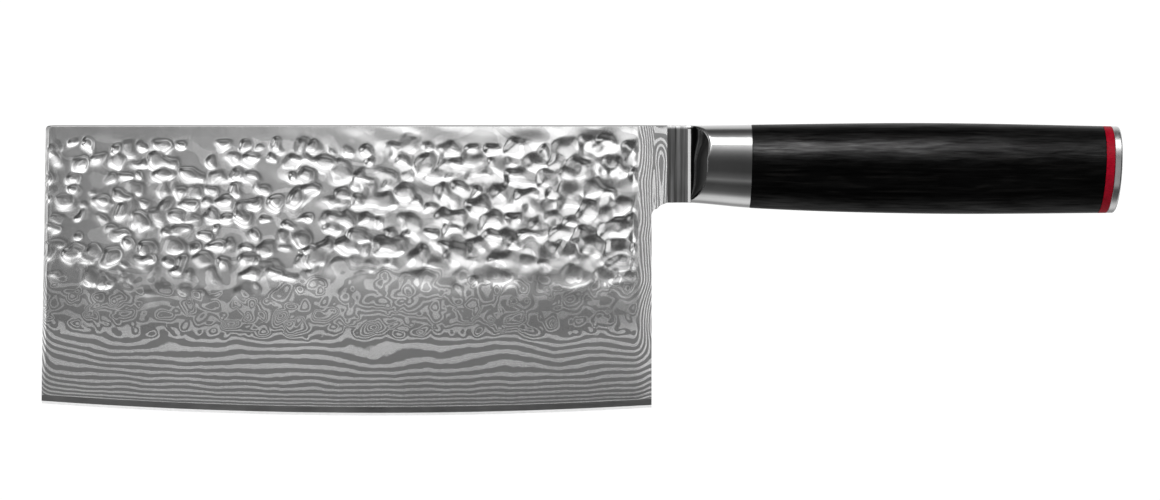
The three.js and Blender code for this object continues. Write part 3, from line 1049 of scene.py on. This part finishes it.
    def cladding(self, side: Side, finish: Finish) -> Piece:
        """Build one cladding: a finely struck face, flat inside where it meets the core.

        Args:
            side: Which cladding.
            finish: Its material.

        Returns:
            The piece.
        """
        (x, z), (tab_x, tab_z) = self.body_grid(), self.tab_grid()
        xs = np.concatenate([x.ravel(), tab_x.ravel()])
        zs = np.concatenate([z.ravel(), tab_z.ravel()])
        face = StruckFace(self, side, xs, zs)
        # Numbers of the corners: the body first, then the tab, which starts at the heel's last column
        seam = z.shape[1] - tab_z.shape[1]
        number = np.arange(x.size).reshape(x.shape)
        tab = x.size + np.arange(tab_z.size).reshape(tab_z.shape)
        tab = np.concatenate([number[-1:, seam:], tab])
        foot, heel = number[:, 0], number[-1, 1 : seam + 1]
        ys = face.surface()
        ys[foot] = self.half_core
        # Loop around the face, with lone corners on the flat inside wherever it isn't at the foot
        around_tab = [tab[1:, 0], tab[-1, 1:], tab[-2::-1, -1]]
        loop = np.concatenate([foot, heel, *around_tab, number[-2::-1, -1], number[0, -2:0:-1]])
        lone = loop[len(foot) :]
        inside = np.concatenate([foot, len(xs) + np.arange(len(lone))])
        faces = self.grid_faces(number) + self.grid_faces(tab)
        for k in range(len(foot) - 1, len(loop)):
            n = (k + 1) % len(loop)
            wall = (loop[k], inside[k], inside[n], loop[n])
            faces.append(tuple(dict.fromkeys(int(v) for v in wall)))
        faces.append(tuple(int(v) for v in inside))
        if side is Side.FAR:
            faces = [tuple(reversed(f)) for f in faces]
        out = np.concatenate([ys, np.full(len(lone), self.half_core)]) * side.value
        along = np.concatenate([xs, xs[lone]]) + self.origin
        corners = np.stack([along, out, np.concatenate([zs, zs[lone]])], 1)
        name = f"{side.name.lower()}_cladding"
        made = MeshMaker.piece(f"{name}_hammered", corners, faces, self.cladding_crease)
        self.write(made, "layer", np.concatenate([face.layer(), np.zeros(len(lone))]))
        self.write(made, "etch", np.concatenate([face.etch(), np.ones(len(lone))]))
        return settle(made, Slot.LAYERED_STEEL, finish, name)

    @staticmethod
    def grid_faces(number: Array) -> list:
        """Faces between the columns and rows of a grid.

        Args:
            number: Corner numbers of the grid.

        Returns:
            Corner numbers of each face.
        """
        a, b = number[:-1, :-1].ravel(), number[1:, :-1].ravel()
        c, d = number[1:, 1:].ravel(), number[:-1, 1:].ravel()
        return [tuple(f) for f in np.stack([a, b, c, d], 1).tolist()]

    @staticmethod
    def write(piece: Piece, name: str, values: Array) -> None:
        """Keep one number for each corner of a piece."""
        kept = piece.data.attributes.new(name, "FLOAT", "POINT")
        kept.data.foreach_set("value", np.asarray(values, np.float32))

    def core_ring(self, share: float) -> Array:
        """Upright ring of corners around the core.

        Args:
            share: Share of the length, from the front end to the heel.

        Returns:
            The corners, one row each, up one flank and down the other.
        """
        foot = float(self.edge_line(np.array(self.length * share)))
        top = np.linspace(self.depth - self.front_corner, self.depth, self.core_top_rows)
        heights = np.array([self.micro_bevel, *self.core_heights, self.core_line])
        flank_z = np.concatenate([foot + heights, top])
        flank_y = np.concatenate([self.grind(heights), np.full(len(top), self.half_core)])
        flank_y = np.minimum(flank_y, self.half_core)
        z = np.concatenate([[foot], flank_z, flank_z[::-1]])
        y = np.concatenate([[0.0], flank_y, -flank_y[::-1]])
        front = self.front_line(z)
        return np.stack([front + (self.length - front) * share + self.origin, y, z], 1)

    def core(self, body: Finish, facet: Finish) -> Piece:
        """Build the hard core with its sharpened facet, heel tab and tongue.

        Args:
            body: Finish of the etched core.
            facet: Finish of the sharpened edge.

        Returns:
            The piece.
        """
        shares = [*self.core_shares[:-1], *np.linspace(self.core_shares[-1], 1.0, self.core_rings)]
        skin = MeshMaker.skin([self.core_ring(share) for share in shares])
        made = MeshMaker.piece("blade_core_edge", *skin)
        MeshMaker.combine(made, [self.tab_plate(), self.tongue()], Work.JOIN)
        MeshMaker.smooth(made.data, self.core_crease)
        settle(made, Slot.CORE_STEEL, body, "blade_core")
        made.data.materials.append(facet)
        for face in made.data.polygons:
            x, z = face.center.x / MM - self.origin, face.center.z / MM
            over = z - float(self.edge_line(np.array(x)))
            sharpened = over < self.micro_bevel * self.facet_share
            face.material_index = int(sharpened and x < self.length - self.facet_end)
        return made

    def tab_plate(self) -> Form:
        """Core inside the heel tab.

        Returns:
            Corners and faces.
        """
        run = np.linspace(0.0, self.tab_length, self.plate_points)
        low = self.tab_underside(self.length + run)
        joined = [-self.tab_overlap]
        x = self.origin + self.length + np.concatenate([joined, run, run[::-1], joined])
        z = np.concatenate([[low[0]], low, np.full(len(run), self.depth), [self.depth]])
        ring = np.stack([x, np.zeros(len(x)), z], 1)
        out = np.array([0.0, self.half_core, 0.0])
        return MeshMaker.skin([ring + out, ring - out])

    def tongue(self) -> Form:
        """Tongue that enters the bolster's neck.

        Returns:
            Corners and faces.
        """
        end = cad_limits("blade_core")[1][0]
        middle, weld = self.depth - self.neck_height / 2, self.origin + self.length
        low = (weld, -self.half_core, middle - self.half_tongue)
        return MeshMaker.block(low, (end, self.half_core, middle + self.half_tongue))


@dataclass
class HandleLine:
    """Top line, height and width of the oval handle, smooth from the neck to the butt."""

    neck: float = 26.20
    scoop: float = 32.70
    joint: float = 51.10
    fullest: float = 103.50
    end: float = 160.75
    tops: tuple = (87.0, 87.0, 87.25, 87.75, 86.75)
    heights: tuple = (23.2, 23.2, 25.0, 27.2, 26.0)
    widths: tuple = (18.6, 18.6, 20.2, 22.0, 21.2)

    @property
    def stations(self) -> list:
        """Places along the handle where the sizes are given."""
        return [self.neck, self.scoop, self.joint, self.fullest, self.end]

    def value(self, x: float, sizes: tuple) -> float:
        """Smooth value of one size at a place along the handle.

        Args:
            x: Place along the handle.
            sizes: The size at each station.

        Returns:
            The size there.
        """
        # Cubic between two stations, with slopes taken from their neighbours
        t = self.stations
        k = min(max(int(np.searchsorted(t, x)) - 1, 0), len(t) - 2)
        wide = t[k + 1] - t[k]
        p = min((x - t[k]) / wide, 1.0)
        before, after = (k - 1 if k else k + 1), (k + 2 if k + 2 < len(t) else k)
        wp, wn = 0.5 * wide / (t[k] - t[before]), 0.5 * wide / (t[after] - t[k + 1])
        return (
            sizes[before] * (-wp * p**3 + 2 * wp * p**2 - wp * p)
            + sizes[k] * ((1 + wp) * p**3 + (-1.5 - 2 * wp) * p**2 + (-0.5 + wp) * p + 1)
            + sizes[k + 1] * ((-1 - wn) * p**3 + (1.5 + wn) * p**2 + 0.5 * p)
            + sizes[after] * (wn * p**3 - wn * p**2)
        )

    def ring(
        self, x: float, lean: float, inset: float = 0.0, share: float = 1.0, count: int = 160
    ) -> Array:
        """Oval ring of corners.

        Args:
            x: Place along the handle.
            lean: Degrees that the ring leans towards the butt.
            inset: How far it lies inside the handle's surface.
            share: Share of the full oval, for rings on an end face.
            count: Corners in the ring.

        Returns:
            The corners, one row each.
        """
        top, tall, wide = (self.value(x, s) for s in (self.tops, self.heights, self.widths))
        turns = np.linspace(0.0, FULL_TURN, count, endpoint=False)
        rise = (tall / 2 - inset) * share * np.sin(turns)
        y = (wide / 2 - inset) * share * np.cos(turns)
        return np.stack([x + rise * math.tan(math.radians(lean)), y, top - tall / 2 + rise], 1)


@dataclass
class Bolster:
    """Steel forging: flat neck, scooped cheeks and oval ferrule."""

    line: HandleLine
    lean: float = 1.3
    half_neck: float = 1.1
    neck_thinned: float = 0.45
    neck_round: float = 1.3
    lip_from: float = 32.25
    lip_to: float = 33.15
    lip_rise: float = 0.26
    scoop_reach: float = 6.7
    scoop_waist: float = 1.6
    scoop_waist_between: Pair = (83.0, 75.5)
    scoop_out: float = 11.1
    scoop_bend: float = 2.3  # how late the wall turns out
    scoop_start: float = 0.26  # slope where the wall leaves the lip
    scoop_high: float = 88.0
    scoop_fall: float = 23.4
    scoop_square: int = 10  # how squarely the scoop ends below
    scoop_foot: float = 0.6  # how round its lower corner is
    scoop_least: float = 0.15
    scoop_edge: float = 0.06  # how far off the wall a face may lie and count as scooped
    uncut: float = 30.0  # half width where nothing is cut
    round_edge: float = 0.25
    round_crown: float = 0.8
    crown_heights: Pair = (71.0, 82.0)
    crown_between: Pair = (31.0, 36.0)
    end_break: float = 0.12
    half_slot: float = 0.46
    slot_heights: Pair = (69.34, 81.46)
    slot_end: float = 0.05
    slot_past: float = 4.0
    half_mortise: float = 1.7
    mortise_fit: float = 0.2

    # Spacing of the rings: wide on the neck, fine around the scoop, wide on the ferrule
    neck_rings: int = 14
    neck_rings_end: float = 0.7
    fine_from: float = 0.62
    fine_to: float = 5.6
    fine_step: float = 0.07
    ferrule_rings: int = 30
    ferrule_rings_start: float = 5.8
    ring_corners: int = 240

    def cheek(self, x: Array, z: Array) -> Array:
        """Half width that the scoops leave at a place.

        Args:
            x: Places along the handle.
            z: Heights of the places.

        Returns:
            Half width of the cut, large where nothing is cut.
        """
        drop = np.clip((self.scoop_high - z) / self.scoop_fall, 0.0, 1.0)
        reach = self.scoop_reach - self.scoop_waist * smoothstep(*self.scoop_waist_between, z)
        reach = np.maximum(reach * (1.0 - drop**self.scoop_square) ** self.scoop_foot, self.scoop_least)
        crown = np.clip((z - self.line.tops[0] + self.neck_round) / self.neck_round, 0.0, 1.0)
        neck = self.half_neck - self.neck_thinned * crown**2
        lip = self.lip_rise * np.clip((x - self.lip_from) / (self.lip_to - self.lip_from), 0.0, 1.0)
        share = np.clip((x - self.lip_to) / reach, 0.0, 1.0)
        bowl = self.scoop_start * share + (1.0 - self.scoop_start) * share**self.scoop_bend
        wall = (self.scoop_out - self.half_neck - self.lip_rise) * bowl
        return np.where(x > self.lip_to + reach, self.uncut, neck + lip + wall)

    def ring(self, x: float) -> Array:
        """Ring of corners around the forging, with the scoops taken off.

        Args:
            x: Place along the handle.

        Returns:
            The corners, one row each.
        """
        line = self.line
        lean = self.lean * (x - line.neck) / (line.joint - line.neck)
        inset = self.end_break if x == line.joint else 0.0
        ring = line.ring(x, lean, inset, count=self.ring_corners)
        along, y, z = ring.T
        crown = smoothstep(*self.crown_heights, z) * smoothstep(*self.crown_between, along)
        rounding = self.round_edge + self.round_crown * crown
        half = soft_min(np.abs(y), self.cheek(along, z), rounding)
        return np.stack([along, np.copysign(np.maximum(half, 0.0), y), z], 1)

    def build(self, finish: Finish, satin: Finish, scooped: Finish) -> Piece:
        """Build the forging with its slot for the tongue and its mortise for the tang.

        Args:
            finish: Its material.
            satin: Finish of the flat neck.
            scooped: Finish of the scooped cheeks: the polished steel darkened, painted shade in the
                hollows.

        Returns:
            The piece.
        """
        neck, scoop, joint = self.line.neck, self.line.scoop, self.line.joint
        neck_x = np.linspace(neck, scoop - self.neck_rings_end, self.neck_rings)
        fine_x = np.arange(scoop - self.fine_from, scoop + self.fine_to, self.fine_step)
        ferrule_from = scoop + self.ferrule_rings_start
        ferrule_x = np.linspace(ferrule_from, joint - self.end_break, self.ferrule_rings)
        skin = MeshMaker.skin([self.ring(x) for x in (*neck_x, *fine_x, *ferrule_x, joint)])
        made = MeshMaker.piece("bolster_forging", *skin)
        tongue_end = cad_limits("blade_core")[1][0]
        slot = MeshMaker.block(
            (neck - self.slot_past, -self.half_slot, self.slot_heights[0]),
            (tongue_end + self.slot_end, self.half_slot, self.slot_heights[1]),
        )
        tang_low, tang_high = cad_limits("tang")
        fit = self.mortise_fit
        mortise = MeshMaker.block(
            (tang_low[0] - fit, -self.half_mortise, tang_low[2] - fit),
            (joint + PAST, self.half_mortise, tang_high[2] + fit),
        )
        MeshMaker.combine(made, [slot, mortise], Work.CUT)
        settle(made, Slot.POLISHED_STEEL, finish, "bolster")
        made.data.materials.append(satin)
        made.data.materials.append(scooped)
        # Faces on the scoop walls get the darkened steel, which is painted shade in the hollows.
        for face in made.data.polygons:
            x, y, z = (c / MM for c in face.center)
            cut = float(self.cheek(np.array(x), np.array(z)))
            in_scoop = self.lip_to < x and abs(abs(y) - cut) < self.scoop_edge
            face.material_index = 1 if x < self.lip_from else 2 if in_scoop else 0
        return made


@dataclass
class Handle:
    """Black grip, red spacer and steel end cap."""

    line: HandleLine
    grip_from: float = 51.15
    grip_to: float = 155.85
    spacer_from: float = 155.90
    spacer_to: float = 158.40
    cap_from: float = 158.45
    front_lean: float = 1.3
    butt_lean: float = 3.2
    edge_break: float = 0.10
    rim_radius: float = 0.7
    dome: float = 0.5
    fit: float = 0.2
    wall: float = 1.4
    overlap: float = 1.0
    hollow_past: float = 2.0

    # Spacing of the rings
    grip_rings: int = 150
    spacer_rings: int = 6
    spacer_margin: float = 0.5
    rim_rings: int = 12
    dome_rings: int = 18
    dome_shares: Pair = (0.95, 0.02)

    # Taken from the CAD frame
    bore_z: float = field(init=False)
    bore: float = field(init=False)
    spigot: float = field(init=False)
    seat: float = field(init=False)
    spigot_from: float = field(init=False)

    def __post_init__(self) -> None:
        """Take the inner fits from the CAD frame."""
        low, high = cad_limits("tang_bedding")
        self.bore_z, self.bore = (low[2] + high[2]) / 2, (high[2] - low[2]) / 2 + self.fit
        low, high = cad_limits("clamp_washer")
        self.spigot, self.seat = (high[2] - low[2]) / 2, low[0]
        self.spigot_from = cad_limits("end_cap")[0][0]

    def body(self, name: str, x_values: list, leans: Pair) -> Piece:
        """Oval body with its end edges broken.

        Args:
            name: Name of the piece.
            x_values: Places of its rings.
            leans: Lean of the first and the last ring, in degrees.

        Returns:
            The piece.
        """
        first, last = x_values[0], x_values[-1]
        rings = []
        for x in x_values:
            lean = leans[0] + (leans[1] - leans[0]) * (x - first) / (last - first)
            inset = self.edge_break if x in (first, last) else 0.0
            rings.append(self.line.ring(x, lean, inset))
        return MeshMaker.piece(name, *MeshMaker.skin(rings))

    def grip(self, finish: Finish) -> Piece:
        """Build the wood grip with its bore and counterbore.

        Args:
            finish: Its material.

        Returns:
            The piece.
        """
        low, high, b = self.grip_from, self.grip_to, self.edge_break
        x_values = [low, *np.linspace(low + b, high - b, self.grip_rings), high]
        made = self.body("grip_wood", x_values, (self.front_lean, self.butt_lean))
        bore = MeshMaker.rod(self.bore, low - PAST, self.seat + self.overlap, self.bore_z)
        well = MeshMaker.rod(self.spigot + self.fit, self.seat, high + PAST, self.bore_z)
        MeshMaker.combine(made, [bore, well], Work.CUT)
        return settle(made, Slot.BLACK_WOOD, finish, "grip")

    def spacer(self, finish: Finish) -> Piece:
        """Build the red spacer with its hole.

        Args:
            finish: Its material.

        Returns:
            The piece.
        """
        low, high, b = self.spacer_from, self.spacer_to, self.edge_break
        margin = self.spacer_margin
        middle = np.linspace(low + margin, high - margin, self.spacer_rings)
        x_values = [low, low + b, *middle, high - b, high]
        made = self.body("spacer_ring_fibre", x_values, (self.butt_lean, self.butt_lean))
        hole = MeshMaker.rod(self.spigot + self.fit, low - PAST, self.cap_from + PAST, self.bore_z)
        MeshMaker.combine(made, [hole], Work.CUT)
        return settle(made, Slot.RED_FIBRE, finish, "spacer_ring")

    def cap(self, finish: Finish) -> Piece:
        """Build the domed end cap with its rounded rim and hollow spigot.

        Args:
            finish: Its material.

        Returns:
            The piece.
        """
        end, r, b, lean = self.line.end, self.rim_radius, self.edge_break, self.butt_lean
        rings = [self.line.ring(self.cap_from, lean, b), self.line.ring(self.cap_from + b, lean)]
        for turn in np.linspace(0.0, math.pi / 2, self.rim_rings):
            x = end - r * (1.0 - math.sin(turn))
            rings.append(self.line.ring(x, lean, r * (1.0 - math.cos(turn))))
        for share in np.linspace(*self.dome_shares, self.dome_rings):
            ring = self.line.ring(end, lean, r, share)
            rings.append(ring + [self.dome * (1.0 - share**2), 0, 0])
        made = MeshMaker.piece("end_cap_steel", *MeshMaker.skin(rings))
        start, root = self.spigot_from, self.cap_from
        spigot = MeshMaker.rod(self.spigot, start, root + self.overlap, self.bore_z)
        hollow = MeshMaker.rod(self.spigot - self.wall, start - self.hollow_past, root, self.bore_z)
        MeshMaker.combine(made, [spigot], Work.JOIN)
        MeshMaker.combine(made, [hollow], Work.CUT)
        return settle(made, Slot.POLISHED_STEEL, finish, "end_cap")


@dataclass
class Fastening:
    """Tang, bedding, washer and nut inside the handle, which keep their CAD shapes."""

    steel_nodes: tuple = ("tang", "clamp_washer", "clamp_nut")
    resin_nodes: tuple = ("tang_bedding",)

    def dress(self, steel: Finish, resin: Finish) -> None:
        """Give the inner CAD nodes their finishes.

        Args:
            steel: Finish of the metal parts.
            resin: Finish of the bedding.
        """
        for names, finish in ((self.steel_nodes, steel), (self.resin_nodes, resin)):
            for name in names:
                node = bpy.data.objects[name]
                node.data.materials.clear()
                node.data.materials.append(finish)
                LOG.info("%s: CAD shape, %s", name, finish.name)


# Studio


@dataclass(frozen=True)
class Lamp:
    """Soft light panel. Places and sizes are in metres, and the turn about its axis in degrees."""

    name: str
    centre: Triple
    aim: Triple
    size: Pair
    radiance: float
    turn: float = 0.0

    @classmethod
    def card(cls, name: str, limits: Limits, radiance: float, away: float = 1.2) -> "Lamp":
        """Upright panel square in front of the knife.

        Args:
            name: Name of the light.
            limits: Its left, right, low and high limits.
            radiance: Brightness of its face.
            away: Distance from the blade.

        Returns:
            The lamp.
        """
        left, right, low, high = limits
        x, z = (left + right) / 2, (low + high) / 2
        return cls(name, (x, -away, z), (x, 0, z), (right - left, high - low), radiance)

    def hang(self, lit: list[Piece]) -> None:
        """Hang the panel in the scene.

        Args:
            lit: Pieces that it shines on, with the rest flagged off from it.
        """
        lamp = bpy.data.lights.new(self.name, "AREA")
        lamp.shape, lamp.size, lamp.size_y = "RECTANGLE", *self.size
        lamp.energy = self.radiance * math.pi * self.size[0] * self.size[1]
        made = bpy.data.objects.new(self.name, lamp)
        made.location = self.centre
        facing = (Vector(self.aim) - Vector(self.centre)).to_track_quat("-Z", "Y")
        about = Quaternion((0.0, 0.0, 1.0), math.radians(self.turn))
        made.rotation_euler = (facing @ about).to_euler()
        made.visible_camera = False
        bpy.context.scene.collection.objects.link(made)
        group = bpy.data.collections.new(f"{self.name}_lit")
        for piece in lit:
            group.objects.link(piece)
        made.light_linking.receiver_collection = group


@dataclass
class Studio:
    """Pale floor, white surroundings, soft lights and the camera."""

    distance: float = 0.8
    eye: float = 0.04965
    frame_width: float = 0.348
    sensor: float = 36.0
    floor_reach: float = 9.0
    floor_gap: float = 0.05
    floor_tones: Pair = (0.18, 0.2)
    floor_glow: float = 0.95
    wall_share: float = 0.95
    wall_sides: int = 64

    # Brightness around the length of the knife, by degrees up from straight ahead
    bands: tuple = (
        (-180.0, 1.0), (-172.0, 1.0), (-150.0, 0.36), (-131.0, 0.36), (-118.0, 0.76), (-106.0, 0.84),
        (-92.0, 0.7), (-83.0, 0.33), (-78.0, 0.18), (-68.0, 0.10), (-48.0, 0.06), (-41.0, 0.10),
        (-35.0, 0.22), (-29.0, 0.12), (-14.0, 0.055), (7.0, 0.057), (18.0, 0.085), (26.0, 0.15),
        (34.0, 0.28), (44.0, 0.67), (50.0, 0.8), (74.0, 0.6), (79.0, 0.4), (84.0, 0.2), (95.0, 0.08),
        (106.0, 0.076), (113.0, 0.2), (121.0, 0.62), (146.0, 0.9), (165.0, 1.0), (180.0, 1.0),
    )

    # Dark flags beyond both ends of the knife, left open behind it: two limits, share at each
    flags: Limits = (0.5, 0.75, 1.0, 0.0)
    open_behind: Limits = (0.25, 0.0, 0.0, 1.0)
    flag_tone: float = 0.01

    def surroundings(self) -> None:
        """Light that comes from all round: bright and dark cards along the length of the knife."""
        world = bpy.data.worlds.new("studio")
        bpy.context.scene.world = world
        world.use_nodes = True
        g = Graph(world.node_tree)
        away = g.node("ShaderNodeTexCoord").outputs["Generated"]
        axes = g.feed(g.node("ShaderNodeSeparateXYZ"), {0: away}).outputs
        ahead = g.math("MULTIPLY", axes["Y"], -1.0)
        turn = g.math("ARCTAN2", axes["Z"], ahead)
        ramp = g.node("ShaderNodeValToRGB")
        g.feed(ramp, {0: g.span(turn, -math.pi, math.pi, 0.0, 1.0)})
        stops = ramp.color_ramp.elements
        for angle, light in self.bands:
            at = (angle + 180.0) / 360.0
            stop = stops[0] if at == 0.0 else stops[-1] if at == 1.0 else stops.new(at)
            stop.color = grey(light)
        beside = g.span(g.math("ABSOLUTE", axes["X"]), *self.flags)
        open_share = g.math("MAXIMUM", beside, g.span(ahead, *self.open_behind))
        light = g.blend(open_share, grey(self.flag_tone), ramp.outputs[0])
        g.feed(g.tree.nodes["Background"], {"Color": light})

    def floor(self) -> None:
        """Pale floor, and a round white backdrop that sheds no light on the knife."""
        reach, sides = self.floor_reach / MM, self.wall_sides
        corners = [[-reach, -reach, 0], [reach, -reach, 0], [reach, reach, 0], [-reach, reach, 0]]
        made = MeshMaker.piece("floor", np.array(corners) - [0, 0, self.floor_gap], [(0, 1, 2, 3)])
        made.visible_glossy = False
        turn = np.linspace(0.0, FULL_TURN, sides, endpoint=False)
        ring = np.stack([np.cos(turn), np.sin(turn), np.zeros(sides)], 1) * self.wall_share * reach
        rows = [(k, (k + 1) % sides, (k + 1) % sides + sides, k + sides) for k in range(sides)]
        wall = MeshMaker.piece("backdrop", np.concatenate([ring, ring + [0, 0, reach]]), rows)
        wall.visible_glossy = wall.visible_diffuse = wall.visible_shadow = False
        r = Recipe("pale_floor")
        tone = r.blend(r.noise((3.0, 3.0, 3.0), 2.0), *(grey(t) for t in self.floor_tones))
        r.shade(Base_Color=tone, Roughness=1.0, Specular_IOR_Level=0.0)
        r.shade(Emission_Color=grey(1.0), Emission_Strength=self.floor_glow)
        for piece in (made, wall):
            piece.data.materials.append(r.material)

    def camera(self) -> None:
        """Camera square to the blade, at the photograph's framing."""
        data = bpy.data.cameras.new("camera")
        data.sensor_width, data.sensor_fit = self.sensor, "HORIZONTAL"
        data.lens = self.sensor * self.distance / self.frame_width
        made = bpy.data.objects.new("camera", data)
        made.location = (0.0, -self.distance, self.eye)
        made.rotation_euler = (math.pi / 2, 0.0, 0.0)
        bpy.context.scene.collection.objects.link(made)
        bpy.context.scene.camera = made

    def lights(
        self, blade: list[Piece], steel: list[Piece], cap: list[Piece], grip: list[Piece]
    ) -> None:
        """Hang the lamps, each for its own pieces.

        Args:
            blade: Pieces of the blade, which has most of the lamps.
            steel: Polished pieces.
            cap: The end cap.
            grip: Wood and fibre of the handle.
        """
        key_at, key_aim = (-0.180, -1.2, 0.736), (-0.180, 0, 0.736)
        blade_aim, bolster_aim, cap_aim = (-0.07, 0.0, 0.05), (0.04, 0.0, 0.075), (0.16, 0.0, 0.075)
        grip_at, grip_aim = (-0.335, -0.932, 1.298), (-0.335, 0.217, 0.333)
        lamps = (
            (Lamp("key", key_at, key_aim, (0.95, 1.0), 3.2, -28.0), blade),
            (Lamp.card("left_key", (-1.3, -0.31, 0.215, 0.75), 1.2, 1.19), blade),
            (Lamp.card("fill_left", (-1.8, -0.12, -0.02, 0.17), 0.44), blade),
            (Lamp.card("fill_right", (-0.12, 0.6, -0.04, 0.09), 0.08), blade + cap),
            (Lamp.card("glow", (-0.4, -0.05, -0.05, 0.11), 0.14, 1.19), blade),
            (Lamp.card("inner_glow", (-0.28, -0.07, -0.04, 0.09), 0.85, 1.18), blade),
            (Lamp.card("low_left", (-1.8, -0.2, -0.2, -0.02), 0.26), blade),
            (Lamp.card("low_edge", (-1.8, -0.15, -0.5, -0.2), 0.55), blade),
            (Lamp.card("low_right", (-0.2, 0.9, -0.45, -0.02), 0.06), blade),
            (Lamp.card("under", (-1.8, 0.6, -1.9, -0.5), 1.1), blade),
            (Lamp.card("right_card", (0.12, 0.5, -0.12, 0.12), 2.2, 1.19), blade),
            (Lamp.card("far_left", (-1.8, -0.75, -0.45, 0.3), 0.7, 1.19), blade),
            (Lamp("left_card", (-0.6, -1.0, 0.06), blade_aim, (0.3, 0.6), 0.9), steel),
            (Lamp("front_card", (-1.1, -0.75, 0.4), blade_aim, (0.8, 1.2), 0.9), blade),
            (Lamp("top_panel", (0.04, -0.704, 1.4), bolster_aim, (2.4, 0.58), 1.9), steel + cap),
            (Lamp("grip_panel", grip_at, grip_aim, (1.35, 0.5), 22.0, -30.0), grip),
            (Lamp("cap_card", (0.4, -1.2, -0.1), cap_aim, (0.7, 1.5), 0.3), cap),
        )
        for lamp, lit in lamps:
            lamp.hang(lit)

    def build(
        self, blade: list[Piece], steel: list[Piece], cap: list[Piece], grip: list[Piece]
    ) -> None:
        """Set up the whole studio.

        Args:
            blade: Pieces of the blade.
            steel: Polished pieces.
            cap: The end cap.
            grip: Wood and fibre of the handle.
        """
        self.surroundings()
        self.floor()
        self.lights(blade, steel, cap, grip)
        self.camera()
        bpy.context.scene.view_settings.view_transform = "Standard"


def main() -> None:
    """Build the sub-assemblies in order and note the sizes."""
    logging.basicConfig(level=logging.INFO, format="%(name)s %(message)s")
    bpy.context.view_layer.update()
    layered = LayeredSteel().material()
    core = GroundSteel(Slot.CORE_STEEL.value, tone=0.115, worn_tone=0.14, gloss=0.34).material()
    facet = GroundSteel(
        "sharpened_edge", tone=0.74, worn_tone=0.8, gloss=0.4, lines=(2600.0, 2600.0, 200.0), metal=0.6
    )
    polished = GroundSteel(Slot.POLISHED_STEEL.value, tone=0.64, worn_tone=0.72, gloss=0.13).material()
    satin = GroundSteel(
        "satin_neck", tone=0.84, worn_tone=0.92, gloss=0.43, lines=(900.0, 900.0, 22.0), streaks=1.0
    )
    # Scoop finish: the polished steel at a much darker tone and the same gloss, painted shade in the
    # hollows.
    scooped = GroundSteel("scooped_steel", tone=0.15, worn_tone=0.19, gloss=0.13)
    brushed = GroundSteel(
        "brushed_cap", tone=0.64, worn_tone=0.72, gloss=0.26, lines=(2600.0, 200.0, 200.0)
    ).material()
    plain = GroundSteel(Slot.PLAIN_STEEL.value, tone=0.46, worn_tone=0.55, gloss=0.45).material()
    blade = Blade()
    blade_pieces = [blade.cladding(side, layered) for side in Side]
    blade_pieces.append(blade.core(core, facet.material()))
    line = HandleLine()
    bolster = Bolster(line).build(polished, satin.material(), scooped.material())
    handle = Handle(line)
    grip = handle.grip(BlackWood().material())
    spacer = handle.spacer(RedFibre().material())
    cap = handle.cap(brushed)
    Fastening().dress(plain, CastResin().material())
    Studio().build(blade_pieces, [bolster], [cap], [grip, spacer])


if __name__ == "__main__":
    main()
